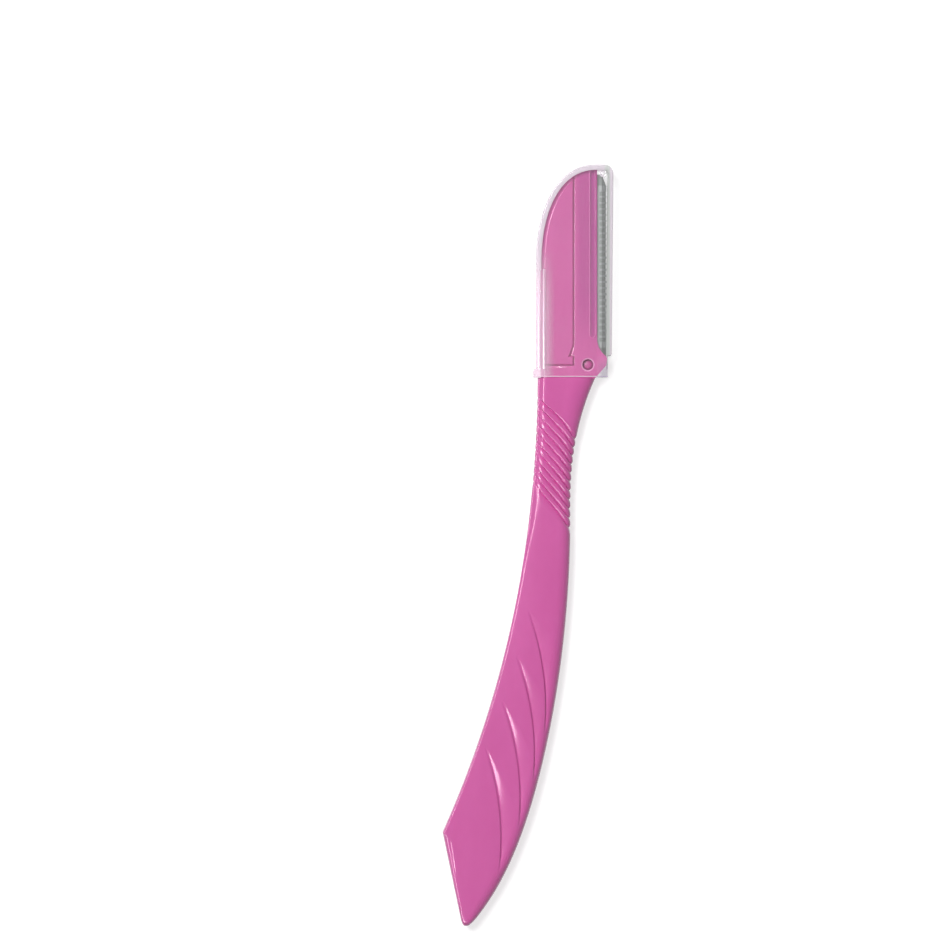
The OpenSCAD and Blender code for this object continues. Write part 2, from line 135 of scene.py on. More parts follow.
class NodeBook:
    """Node tree of a material or of the world."""

    def __init__(self, owner: bpy.types.Material | bpy.types.World) -> None:
        """Empties the owner's node tree.

        Args:
            owner: Material or world.
        """
        owner.use_nodes = True
        owner.node_tree.nodes.clear()
        self.owner = owner

    @classmethod
    def for_material(cls, name: str) -> "NodeBook":
        """Book of a new material."""
        return cls(bpy.data.materials.new(name))

    def add(
        self,
        kind: str,
        settings: Mapping[str, Any] | None = None,
        sockets: Mapping[str | int, Any] | None = None,
    ) -> bpy.types.Node:
        """Adds one node.

        Args:
            kind: Blender's type name of the node.
            settings: The node's own settings.
            sockets: Numbers, colours, wires or output sockets for its inputs.

        Returns:
            The node.
        """
        tree = self.owner.node_tree
        node = tree.nodes.new(kind)
        for key, value in (settings or {}).items():
            setattr(node, key, value)
        for key, value in (sockets or {}).items():
            source = value.socket if isinstance(value, Wire) else value
            if isinstance(source, bpy.types.NodeSocket):
                tree.links.new(source, node.inputs[key])
            else:
                node.inputs[key].default_value = source
        return node

    def wire(self, node: bpy.types.Node, output: str | int = 0) -> Wire:
        """Value of a node's output."""
        return Wire(self, node.outputs[output])

    def place(self) -> bpy.types.NodeSocket:
        """Place on the object in metres, which moves with the piece."""
        return self.add("ShaderNodeTexCoord").outputs["Object"]

    def local(self, place: bpy.types.NodeSocket) -> tuple[Wire, Wire, Wire]:
        """Coordinates of a place in millimetres from the local origin.

        Args:
            place: Place on the object.

        Returns:
            Its x, y and z.
        """
        sockets = {0: place, 1: (1 / MM, 1 / MM, 1 / MM), 2: -ORIGIN / MM}
        node = self.add("ShaderNodeVectorMath", {"operation": "MULTIPLY_ADD"}, sockets)
        split = self.add("ShaderNodeSeparateXYZ", None, {0: node.outputs[0]})
        return self.wire(split, 0), self.wire(split, 1), self.wire(split, 2)

    def stretched(self, place: bpy.types.NodeSocket, scale: Colour) -> bpy.types.NodeSocket:
        """Place multiplied by a scale for each axis."""
        return self.add("ShaderNodeVectorMath", {"operation": "MULTIPLY"}, {0: place, 1: scale}).outputs[0]

    def noise(self, place: bpy.types.NodeSocket, scale: float, detail: float) -> Wire:
        """Noise from 0 to 1, with a number of features for each metre and of finer octaves."""
        sockets = {"Vector": place, "Scale": scale, "Detail": detail}
        return self.wire(self.add("ShaderNodeTexNoise", None, sockets))

    def tinted(self, first: Any, second: Any, share: Any) -> bpy.types.NodeSocket:
        """Mix of two colours.

        Args:
            first: Colour at share 0.
            second: Colour at share 1.
            share: Wire or number.

        Returns:
            The mixed colour.
        """
        ends = [(*c, 1) if isinstance(c, tuple) else c for c in (first, second)]
        node = self.add("ShaderNodeMix", {"data_type": "RGBA"}, {0: share, 6: ends[0], 7: ends[1]})
        return node.outputs[2]

    def bump(self, height: Wire, depth: float, strength: float) -> bpy.types.NodeSocket:
        """Normal of a small relief, whose height of 1 is so many metres, kept by a share."""
        sockets = {"Height": height, "Distance": depth, "Strength": strength}
        return self.add("ShaderNodeBump", None, sockets).outputs[0]

    def seen(self) -> Wire:
        """Mask of the rays that show a white background: camera, glossy and transmission rays.

        Returns:
            How many of the three a ray is.
        """
        path = self.add("ShaderNodeLightPath")
        rays = ("Camera", "Glossy", "Transmission")
        camera, glossy, through = (self.wire(path, f"Is {ray} Ray") for ray in rays)
        return camera + glossy + through

    def principled(self, sockets: Mapping[str, Any]) -> bpy.types.Material:
        """Ends the tree in a Principled shader with these sockets."""
        return self.close(self.add("ShaderNodeBsdfPrincipled", None, sockets))

    def close(self, shader: bpy.types.Node) -> Any:
        """Joins the last shader to the output.

        Args:
            shader: The shader.

        Returns:
            The tree's owner.
        """
        kind = "World" if isinstance(self.owner, bpy.types.World) else "Material"
        self.add(f"ShaderNodeOutput{kind}", None, {0: shader.outputs[0]})
        return self.owner


# Finishes


def from_stake(x: Wire, y: Wire) -> Wire:
    """Distance from the stake's axis in millimetres."""
    centre = HeadForm().stake
    return ((x - centre[0]) ** 2.0 + (y - centre[1]) ** 2.0) ** 0.5


@dataclass(frozen=True)
class BodyPlastic:
    """Magenta moulded plastic with a soft gloss. Places are in local millimetres."""

    name: str = "body_plastic"
    colour: Colour = (0.608, 0.101, 0.358)
    deep: Colour = (0.573, 0.088, 0.331)
    # Painted shade: darker colour over the bridge and in the flute.
    painted_shade: Colour = (0.400, 0.040, 0.255)
    # Painted highlight: lighter colour in a ring round the stake's dome.
    painted_highlight: Colour = (0.95, 0.52, 0.80)
    roughness: float = 0.19
    relief: float = 0.000016
    bridge: tuple[Pair, Pair] = ((7.0, 8.6), (3.0, 18.0))
    flute: tuple[Pair, Pair, Pair] = ((10.36, 10.46), (11.22, 11.32), (7.8, 8.2))
    # Place of the painted highlight ring round the stake's dome.
    collar: tuple[Pair, Pair, Pair] = ((1.05, 1.14), (1.26, 1.40), (0.8, 1.0))
    parting: Pair = (0.02, 0.07)

    def make(self) -> bpy.types.Material:
        """Builds the material: faint flow marks, moulding grain and a parting line at mid thickness.

        The bridge and the flute are painted a little darker, as painted shade, and a ring round the stake's
        dome is painted lighter, as a painted highlight.

        Returns:
            The material.
        """
        book = NodeBook.for_material(self.name)
        place = book.place()
        x, y, z = book.local(place)
        flow = book.noise(book.stretched(place, (3, 0.7, 3)), 60, 3)
        cloud = book.noise(place, 110, 2)
        grain = book.noise(place, 5200, 2)
        wear = book.noise(book.stretched(place, (1.0, 0.25, 1.0)), 900, 4)
        bridge = x.above(*self.bridge[0]) * y.above(*self.bridge[1])
        flute = x.band(*self.flute[:2]) * y.above(*self.flute[2])
        collar = from_stake(x, y).band(*self.collar[:2]) * z.above(*self.collar[2])
        colour = book.tinted(self.colour, self.deep, (flow * 0.6 + cloud * 0.4).above(0.3, 0.7))
        # Painted shade over the bridge and in the flute.
        colour = book.tinted(colour, self.painted_shade, bridge * 0.55 + flute * 0.6)
        height = grain * 0.5 + wear * 0.12 + abs(z).below(*self.parting) * 1.5
        sockets = {
            # Painted highlight in a ring round the stake's dome.
            "Base Color": book.tinted(colour, self.painted_highlight, collar * 0.5),
            "Roughness": self.roughness + 0.07 * cloud + 0.025 * wear.above(0.5, 0.8),
            "IOR": 1.42,
            "Subsurface Weight": 0.12,
            "Subsurface Radius": (0.0012, 0.0005, 0.0008),
            "Subsurface Scale": 1.0,
            "Coat Weight": 0.22,
            "Coat Roughness": 0.06,
            "Normal": book.bump(height, self.relief, 0.18),
        }
        return book.principled(sockets)


@dataclass(frozen=True)
class MeltedPlastic:
    """Body plastic of the stake's dome, painted darker as painted shade in its well, and darker still round
    its rim as painted shade.
    """

    name: str = "melted_plastic"
    # Darker than the body plastic: painted shade in the stake's well.
    colour: Colour = (0.44, 0.03, 0.235)
    # Painted shade round the dome's rim.
    rim_shade: Colour = (0.25, 0.008, 0.13)
    rim: Pair = (0.5, 0.85)

    def make(self) -> bpy.types.Material:
        """Builds the material.

        Returns:
            The material.
        """
        book = NodeBook.for_material(self.name)
        place = book.place()
        x, y, _ = book.local(place)
        cloud = book.noise(place, 2600, 2)
        # Painted shade, growing towards the dome's rim.
        shade = (from_stake(x, y) + 0.2 * (cloud - 0.5)).above(*self.rim)
        sockets = {
            "Base Color": book.tinted(self.colour, self.rim_shade, shade),
            "Roughness": 0.3 + 0.2 * cloud,
            "IOR": 1.5,
            "Normal": book.bump(cloud, 0.00006, 0.5),
        }
        return book.principled(sockets)


@dataclass(frozen=True)
class GroundSteel:
    """Stainless strip with fine grinding lines and an oily sheen."""

    name: str
    colour: Colour
    deep: Colour
    roughness: float
    line_scale: Colour
    line_depth: float = 0.0000015

    def make(self) -> bpy.types.Material:
        """Builds the material from stretched noise, which gives lines across the strip.

        Returns:
            The material.
        """
        book = NodeBook.for_material(self.name)
        place = book.place()
        lines = book.noise(book.stretched(place, self.line_scale), 1, 4)
        film = book.noise(place, 420, 3)
        sockets = {
            "Base Color": book.tinted(self.colour, self.deep, lines * 0.7 + film * 0.3),
            "Metallic": 1.0,
            "Roughness": self.roughness + 0.16 * lines + 0.08 * film,
            "Normal": book.bump(lines, self.line_depth, 0.6),
        }
        return book.principled(sockets)


@dataclass(frozen=True)
class ClearPlastic:
    """Clear moulded polystyrene, which veils what lies under it and whitens at glancing angles.

    Over the spine the veil is whiter and denser, as a painted highlight, and at the blade's heel
    it is greyer and denser, as a painted reflection. Over the blade's edge its colour is greyer, and at
    glancing angles it is painted darker, as painted shade in place of refraction.
    """

    name: str
    colour: Colour
    # Painted shade at glancing angles, in place of the dark edges that refraction gives.
    glancing_shade_colour: Colour
    steel_colour: Colour
    veil: float
    # Painted highlight: extra cover over the spine.
    spine_highlight: float
    edge_veil: float
    roughness: float
    haze: float
    # Colour of the painted highlight over the spine.
    spine_highlight_colour: Colour = (1.0, 0.76, 0.92)
    # Painted reflection at the blade's heel: its colour and its extra cover.
    heel_reflection_colour: Colour = (0.44, 0.36, 0.52)
    heel_reflection: float = 0.13
    spine: tuple[Pair, Pair] = ((0.8, 3.6), (14.0, 28.0))
    steel: tuple[Pair, Pair] = ((12.8, 13.6), (14.0, 14.4))
    heel: tuple[Pair, Pair] = ((11.2, 13.0), (1.2, 4.6))

    def make(self) -> bpy.types.Material:
        """Builds the material: its cover grows with the Fresnel share and with faint haze and scuffs.

        Returns:
            The material.
        """
        book = NodeBook.for_material(self.name)
        place = book.place()
        x, y, _ = book.local(place)
        facing = book.wire(book.add("ShaderNodeLayerWeight", None, {"Blend": 0.5}), "Facing")
        haze = book.noise(place, 130, 3)
        scuffs = book.noise(book.stretched(place, (1, 0.12, 1)), 2400, 4).above(0.6, 0.8)
        rimmed = facing**4.0
        # Mask of the painted highlight over the spine.
        spine_highlight_mask = x.below(*self.spine[0]) * y.below(*self.spine[1])
        # Mask of the painted reflection at the blade's heel.
        heel_reflection_mask = x.above(*self.heel[0]) * y.below(*self.heel[1])
        cover = self.veil + self.spine_highlight * spine_highlight_mask + self.edge_veil * rimmed + self.haze * haze
        cover = cover + 0.03 * scuffs + self.heel_reflection * heel_reflection_mask
        colour = book.tinted(self.colour, self.spine_highlight_colour, spine_highlight_mask)
        colour = book.tinted(colour, self.steel_colour, x.band(*self.steel))
        colour = book.tinted(colour, self.heel_reflection_colour, heel_reflection_mask)
        sockets = {
            # Painted shade at glancing angles.
            "Base Color": book.tinted(colour, self.glancing_shade_colour, rimmed),
            "Roughness": self.roughness + 0.05 * haze + 0.12 * scuffs,
            "IOR": 1.59,
            "Coat Weight": 0.6,
            "Coat Roughness": 0.03,
            "Alpha": cover,
            "Normal": book.bump(book.noise(place, 240, 1), 0.00003, 0.25),
        }
        return book.principled(sockets)


@dataclass(frozen=True)
class StudioFloor:
    """Plain white floor that keeps the object's shadow and renders as white elsewhere."""

    name: str = "studio_floor"
    albedo: float = 0.45
    lift: float = 0.7

    def make(self) -> bpy.types.Material:
        """Builds the material: diffuse white with a small lift for camera, glossy and transmission rays.

        Returns:
            The material.
        """
        book = NodeBook.for_material(self.name)
        glow = {"Color": (1, 1, 1, 1), "Strength": book.seen() * self.lift}
        lit = book.add("ShaderNodeBsdfDiffuse", None, {"Color": (self.albedo, self.albedo, self.albedo, 1)})
        lifted = book.add("ShaderNodeEmission", None, glow)
        return book.close(book.add("ShaderNodeAddShader", None, {0: lit.outputs[0], 1: lifted.outputs[0]}))


# Forms


class Operation(Enum):
    """What one form does to another."""

    CUT = "DIFFERENCE"
    JOIN = "UNION"
    KEEP = "INTERSECT"


class Solver(Enum):
    """Way of combining forms: exact for few faces, manifold for dense closed meshes."""

    EXACT = "EXACT"
    MANIFOLD = "MANIFOLD"


def raised(outline: Array, height: float) -> Array:
    """Outline with a third coordinate."""
    return np.column_stack([outline, np.full(len(outline), height)])


def rectangle(left: float, low: float, right: float, high: float) -> Array:
    """Outline of a rectangle."""
    return np.array([(left, low), (right, low), (right, high), (left, high)])


def drawn_in(outline: Array, distance: float, least: float = 0.002) -> Array:
    """Outline drawn in by a distance, with mitred corners.

    Args:
        outline: Points of a closed outline.
        distance: How far it is drawn in.
        least: A point closer than this to the one before is left out.

    Returns:
        Points of the drawn outline, counter-clockwise.
    """
    kept = outline[np.linalg.norm(outline - np.roll(outline, 1, axis=0), axis=1) > least]
    ahead = np.roll(kept, -1, axis=0)
    if (kept[:, 0] * ahead[:, 1] - ahead[:, 0] * kept[:, 1]).sum() <= 0:
        kept = kept[::-1]
    before = kept - np.roll(kept, 1, axis=0)
    after = np.roll(before, -1, axis=0)
    inward = [np.stack([-e[:, 1], e[:, 0]], 1) / np.linalg.norm(e, axis=1)[:, None] for e in (before, after)]
    spread = np.maximum(1 + (inward[0] * inward[1]).sum(1), 0.35)
    return kept + distance * (inward[0] + inward[1]) / spread[:, None]


def rounded(line: Sequence[Pair], radius: float, steps: int, closed: bool = False) -> Array:
    """Line with its corners rounded.

    Args:
        line: Points of the line.
        radius: Distance from a corner to the start of its rounding.
        steps: Segments of each rounding.
        closed: Whether the line is closed, so that its ends are corners too.

    Returns:
        Points of the rounded line.
    """
    corners = np.array(line, float)
    bends = []
    for before, corner, after in zip(np.roll(corners, 1, 0), corners, np.roll(corners, -1, 0)):
        start, stop = (corner + (p - corner) / np.linalg.norm(p - corner) * radius for p in (before, after))
        bends += [mix(mix(start, corner, s), mix(corner, stop, s), s) for s in np.arange(steps + 1) / steps]
    if closed:
        return np.array(bends)
    return np.array([corners[0], *bends[steps + 1 : -steps - 1], corners[-1]])


class Form:
    """Closed mesh in millimetres that is cut and joined before it becomes a piece."""

    def __init__(self, name: str, points: Array, faces: Sequence[Sequence[int]]) -> None:
        """Makes the mesh.

        Args:
            name: Name of the piece it will be.
            points: Corner points in millimetres.
            faces: Point numbers of each face.
        """
        mesh = bpy.data.meshes.new(name)
        mesh.from_pydata(points.tolist(), [], faces)
        self.thing = bpy.data.objects.new(name, mesh)
        bpy.context.scene.collection.objects.link(self.thing)
        self.clean()

    def clean(self, least: float = 0.0005) -> None:
        """Merges points closer than least and turns all faces outwards.

        Args:
            least: Least distance between two points.
        """
        shape = bmesh.new()
        shape.from_mesh(self.thing.data)
        bmesh.ops.remove_doubles(shape, verts=shape.verts, dist=least)
        bmesh.ops.recalc_face_normals(shape, faces=shape.faces)
        shape.to_mesh(self.thing.data)
        shape.free()

    def apply(self) -> None:
        """Makes the modifiers part of the mesh."""
        graph = bpy.context.evaluated_depsgraph_get()
        mesh = bpy.data.meshes.new_from_object(self.thing.evaluated_get(graph))
        self.thing.modifiers.clear()
        self.thing.data = mesh

    @classmethod
    def loft(cls, name: str, rings: Sequence[Array], hollow: bool = False) -> "Form":
        """Closed form through rings with as many points each.

        Args:
            name: Name of the form.
            rings: Points of each ring, ring by ring.
            hollow: Whether the last ring is joined to the first.

        Returns:
            The form, which is closed by a flat face at both ends unless it is hollow.
        """
        loops = np.array(rings)
        count, size = loops.shape[:2]
        index = np.arange(count * size).reshape(count, size)
        near, far = index, np.roll(index, -1, 0)
        ends = []
        if not hollow:
            near, far = near[:-1], far[:-1]
            ends = [index[0, ::-1].tolist(), index[-1].tolist()]
        sides = np.stack([near, np.roll(near, -1, 1), np.roll(far, -1, 1), far], -1).reshape(-1, 4)
        return cls(name, loops.reshape(-1, 3), sides.tolist() + ends)

    @classmethod
    def stacked(cls, name: str, outline: Array, levels: Sequence[Pair], hollow: bool = False) -> "Form":
        """Outline at several heights, drawn in by its own distance at each.

        Args:
            name: Name of the form.
            outline: Closed outline.
            levels: Height of each level and how far the outline is drawn in there.
            hollow: Whether the form is a ring along the outline, with the levels as its section.

        Returns:
            The form.
        """
        return cls.loft(name, [raised(drawn_in(outline, d), z) for z, d in levels], hollow)

    @classmethod
    def prism(
        cls, name: str, outline: Array, low: float, high: float, rim: float = 0.0, steps: int = 4
    ) -> "Form":
        """Outline raised from low to high.

        Args:
            name: Name of the form.
            outline: Closed outline.
            low: Lower height.
            high: Upper height.
            rim: Radius of the rounding at both rims.
            steps: Segments of each rounding.

        Returns:
            The form.
        """
        if not rim:
            return cls.stacked(name, outline, [(low, 0.0), (high, 0.0)])
        turns = [i / steps * math.pi / 2 for i in range(steps + 1)]
        levels = [(low + rim * (1 - math.cos(a)), rim * (1 - math.sin(a))) for a in turns]
        levels += [(high - rim * (1 - math.sin(a)), rim * (1 - math.cos(a))) for a in turns]
        return cls.stacked(name, outline, levels)

    @classmethod
    def along_y(cls, name: str, sections: Sequence[tuple[float, Array]]) -> "Form":
        """Form through sections in x and z, each at its own place along y."""
        return cls.loft(name, [raised(section, place)[:, [0, 2, 1]] for place, section in sections])

    @classmethod
    def turned(cls, name: str, profile: Sequence[Pair], centre: Pair, steps: int = 32) -> "Form":
        """Profile of radius and height turned about an upright axis.

        Args:
            name: Name of the form.
            profile: Radius and height of each point.
            centre: Place of the axis.
            steps: Points round the axis.

        Returns:
            The form.
        """
        a = np.arange(steps) / steps * 2 * np.pi
        round_axis = np.column_stack([np.cos(a), np.sin(a)])
        return cls.loft(name, [raised(np.array(centre) + r * round_axis, z) for r, z in profile])

    def lifted(self, rise: Callable[[float], float]) -> "Form":
        """Moves the points away from the middle plane.

        Args:
            rise: Shift for a place across, in the direction in which the point lies.

        Returns:
            This form.
        """
        for point in self.thing.data.vertices:
            point.co.z += math.copysign(rise(point.co.x), point.co.z)
        return self

    def combine(self, operation: Operation, others: Sequence["Form"], solver: Solver) -> "Form":
        """Combines the form with others, which are used up.

        Args:
            operation: What each of them does to this one.
            others: The other forms.
            solver: Way of combining them.

        Returns:
            This form.
        """
        for other in others:
            modifier = self.thing.modifiers.new("combine", "BOOLEAN")
            modifier.operation = operation.value
            modifier.solver = solver.value
            modifier.object = other.thing
            self.apply()
            bpy.data.objects.remove(other.thing)
        return self

    def cut(self, *others: "Form", solver: Solver = Solver.EXACT) -> "Form":
        """Takes other forms away from this one."""
        return self.combine(Operation.CUT, others, solver)

    def join(self, *others: "Form", solver: Solver = Solver.EXACT) -> "Form":
        """Joins other forms to this one."""
        return self.combine(Operation.JOIN, others, solver)

    def keep(self, *others: "Form", solver: Solver = Solver.EXACT) -> "Form":
        """Keeps only what this form shares with each of the others."""
        return self.combine(Operation.KEEP, others, solver)


# The razor's sizes


@dataclass(frozen=True)
class GripForm:
    """Sizes and surface of the handle below the shoulder. t is a share of its length."""

    length: float = 108.2
    neck_w: float = 11.4
    waist_w: float = 8.1
    leaf_w: float = 15.8
    butt_swing: float = 18.8
    point_back: float = 3.9
    point_w: float = 1.5
    point_draw: float = 0.3
    neck_t: float = 4.8
    waist_t: float = 4.4
    leaf_t: float = 5.2
    point_t: float = 3.4
    spine_round: float = 1.15
    leaf_round: float = 0.55
    butt_round: float = 1.0
    butt_step: float = 0.065
    butt_step_w: float = 0.34
    butt_step_in: Pair = (1.3, 0.95)
    butt_step_runs: tuple[Pair, Pair, Pair] = ((0.1, 0.45), (0.04, 0.13), (0.36, 0.5))
    butt_power: float = 0.7
    facet_turn: float = 0.012
    run_fade: Pair = (0.235, 0.34)
    bevel_fade: Pair = (0.24, 0.36)
    neck_bevel: float = 1.0
    waist_bevel: float = 0.3
    belly_round: float = 2.4
    neck_belly_round: float = 4.6
    crown: float = 0.25
    groove_count: int = 11
    groove_pitch: float = 1.7
    groove_d: float = 0.42
    groove_start: float = 8.0
    groove_slant: Pair = (0.86, 1.05)
    groove_hook: float = 0.05
    scoop_count: int = 4
    scoop_start: float = 45.9
    scoop_pitch: float = 8.9
    scoop_l: float = 26.4
    scoop_w: float = 3.3
    scoop_d: float = 0.55
    scoop_bow: float = 1.7
    scoop_start_shares: Pair = (0.26, 0.115)
    scoop_stop_share: float = 0.35
    scoop_slopes: Pair = (0.2, 0.5)
    scoop_power: float = 1.6
    scoop_turn_power: float = 0.7
    scoop_fade: Pair = (0.02, 0.62)
    scoop_entry: float = 4.0
    scoop_exit: Pair = (8.0, 0.4)
    scoop_shallow: float = 0.12
    scoop_least: float = 0.3
    scoop_cliff: float = 0.26
    waist_share: float = 0.25
    thick_share: float = 0.72
    corner_share: float = 0.8285
    bend_share: float = -0.043
    bend_power: float = 2.24
    flare_power: float = 2.5
    belly_power: float = 2.06
    tip_power: float = 8.8
    point_power: float = 2.2
    edge_power: float = 2.4
    edge_most: float = 0.45
    bevel_edge_share: float = 0.25
    unslant_share: float = 0.11
    rib_zone: tuple[Pair, Pair] = ((0.05, 0.08), (0.22, 0.25))
    rib_losses: tuple[tuple[float, ...], ...] = ((0.72, 0.55, 0.95), (0.3, 0.8, 1.0))
    rib_powers: Pair = (2.4, 2.0)
    rib_crest: float = 0.68
    crease: float = 0.18
    rib_crease: float = 0.34
    rib_lead: float = 0.6
    rib_trail: float = 1.6
    neck_lip: float = 0.2
    ring_steps: tuple[float, ...] = (0.32, 0.085, 0.35, 0.27)
    ring_points: int = 149

    @property
    def waist_x(self) -> float:
        """Place of the belly edge at the waist."""
        return self.waist_w + float(self.spine_bend(np.array(self.waist_share)))

    @property
    def point_drop(self) -> float:
        """Run of the belly edge from the waist back to the point."""
        return self.waist_x - (self.point_back + self.point_w - self.butt_swing)

    @property
    def tip_drop(self) -> float:
        """Part of that run that turns in near the point.

        Returns:
            The part in millimetres.
        """
        run = float(part_of(self.corner_share, self.waist_share, 1))
        belly, tip = run**self.belly_power, run**self.tip_power
        corner_drop = self.waist_x - (self.leaf_w - self.butt_swing)
        return (self.point_drop * belly - corner_drop) / (belly - tip)

    def spine_bend(self, t: Array) -> Array:
        """Bend of the spine edge."""
        share = (t - self.bend_share) / (self.corner_share - self.bend_share)
        return -self.butt_swing * np.maximum(share, 0) ** self.bend_power

    def point_pull(self, t: Array) -> Array:
        """How far the point's rounding draws the edges in."""
        c = np.clip(1 - (1 - t) * self.length / self.point_w, 0, 1)
        return self.point_w * self.point_draw * (1 - np.sqrt(1 - c * c))

    def spine_edge(self, t: Array) -> Array:
        """Place of the spine edge.

        Args:
            t: Shares of the handle's length.

        Returns:
            The places across.
        """
        facet = -self.butt_swing + self.point_back * part_of(t, self.corner_share, 1) + self.point_pull(t)
        return np.where(t < self.corner_share, self.spine_bend(t), facet)

    def belly_edge(self, t: Array) -> Array:
        """Place of the belly edge.

        Args:
            t: Shares of the handle's length.

        Returns:
            The places across.
        """
        flare = np.maximum(1 - t / self.waist_share, 0) ** self.flare_power
        upper = self.waist_x + (self.neck_w - self.waist_x) * flare
        s = part_of(t, self.waist_share, 1)
        bow = (self.point_drop - self.tip_drop) * s**self.belly_power
        lower = self.waist_x - bow - self.tip_drop * s**self.tip_power - self.point_pull(t)
        return np.where(t < self.waist_share, upper, lower)

    def thick(self, t: Array) -> Array:
        """Thickness.

        Args:
            t: Shares of the handle's length.

        Returns:
            The thickness at each.
        """
        neck = mix(self.neck_t, self.waist_t, ease(t / self.waist_share))
        leaf = mix(self.waist_t, self.leaf_t, ease(part_of(t, self.waist_share, self.thick_share)))
        point = mix(self.leaf_t, self.point_t, part_of(t, self.thick_share, 1) ** self.point_power)
        return np.where(t < self.waist_share, neck, np.where(t < self.thick_share, leaf, point))

    def rounding(self, c: Array) -> Array:
        """Fall of a rounding from 1 at c = 0 to 0 at c = 1."""
        return np.maximum(0, 1 - np.clip(c, 0, 1) ** self.edge_power) ** (1 / self.edge_power)

    def spine_side(self, c: Array, t: Array) -> Array:
        """Fall at the spine edge: a bevel at the neck that turns into a rounding at the leaf.

        Args:
            c: Shares of the bevel's width, from its inner side.
            t: Shares of the handle's length.

        Returns:
            Shares of the face's height.
        """
        corner = 1 - self.bevel_edge_share
        grip = ease(part_of(t, *self.rib_zone[0])) * (1 - ease(part_of(t, *self.rib_zone[1])))
        soft = mix(self.crease, self.rib_crease, grip)
        run = (c + np.sqrt(c * c + soft**2)) / 2
        drop = mix(self.neck_bevel, self.waist_bevel, ease(part_of(t, *self.bevel_fade)))
        slope = 1 - np.minimum(run, corner) * drop / corner / (self.thick(t) / 2)
        bevel = slope * self.rounding((c - corner) / self.bevel_edge_share)
        return mix(bevel, self.rounding(c), ease(part_of(t, self.waist_share, self.thick_share)))

    def spine_run(self, t: Array) -> Array:
        """Width of the spine edge's bevel or rounding: narrow at the leaf, wider at the butt's facet.

        Args:
            t: Shares of the handle's length.

        Returns:
            The widths.
        """
        upper = mix(self.spine_round, self.leaf_round, ease(part_of(t, *self.run_fade)))
        butt = mix(self.butt_round, self.leaf_round, part_of(t, self.corner_share, 1) ** self.butt_power)
        return mix(upper, butt, ease(part_of(t, self.corner_share, self.corner_share + self.facet_turn)))

    def belly_run(self, t: Array) -> Array:
        """Width of the belly edge's rounding, which is widest at the shoulder."""
        return mix(self.neck_belly_round, self.belly_round, ease(part_of(t, 0, self.waist_share)))

    def face_z(self, x: Array, t: Array) -> Array:
        """Height of the plain broad face above the middle plane.

        Args:
            x: Places across.
            t: Shares of the handle's length.

        Returns:
            The heights.
        """
        x0, x1 = self.spine_edge(t), self.belly_edge(t)
        w = x1 - x0
        c0 = np.minimum(1 - (x - x0) / np.minimum(self.spine_run(t), w * self.edge_most), 1)
        c1 = np.clip(1 - (x1 - x) / np.minimum(self.belly_run(t), w * self.edge_most), 0, 1)
        end = np.clip(1 - (1 - t) * self.length / self.point_w, 0, 1)
        u = 2 * (x - x0) / w - 1
        half = self.thick(t) / 2
        flat = half - self.crown * part_of(t, 0, self.waist_share)
        crowned = flat + (half - flat) * (1 - u * u)
        return crowned * self.spine_side(c0, t) * self.rounding(c1) * self.rounding(end)

    def slant(self, t: Array) -> Array:
        """Slant of the rings, drop over run, which follows the ribs.

        Args:
            t: Shares of the handle's length.

        Returns:
            The slants.
        """
        first = self.groove_start / self.length
        last = (self.groove_start + (self.groove_count - 1) * self.groove_pitch) / self.length
        full = mix(*self.groove_slant, part_of(t, first, last))
        return full * np.minimum(part_of(t, 0, first), 1 - ease(part_of(t, last, last + self.unslant_share)))

    def rib_depth(self, t: Array) -> Array:
        """Depth under the plain surface: each rib swells to its crest and drops to the next groove.

        Args:
            t: Shares of the handle's length.

        Returns:
            The depths.
        """
        s = (t * self.length - self.groove_start) / self.groove_pitch
        phase = s - np.floor(s)
        rise = np.maximum(1 - phase / self.rib_crest, 0) ** self.rib_powers[0]
        drop = np.maximum((phase - self.rib_crest) / (1 - self.rib_crest), 0) ** self.rib_powers[1]
        inside = (s >= 0) & (s <= self.groove_count - 1)
        before = np.where((s > self.rib_crest - 1) & (s < 0), drop, 0)
        behind = s - (self.groove_count - 1)
        after = np.where((s > 0) & (behind > 0) & (behind < 1), np.maximum(1 - behind, 0) ** 2, 0)
        return self.groove_d * np.where(inside, np.maximum(rise, drop), before + after)

    def rib_share(self, u: Array) -> Array:
        """Share of the ribs' depth that is kept across the handle: less at both edges."""
        spine, belly = self.rib_losses
        return 1 - spine[0] * ease(part_of(-u, *spine[1:])) - belly[0] * ease(part_of(u, *belly[1:]))

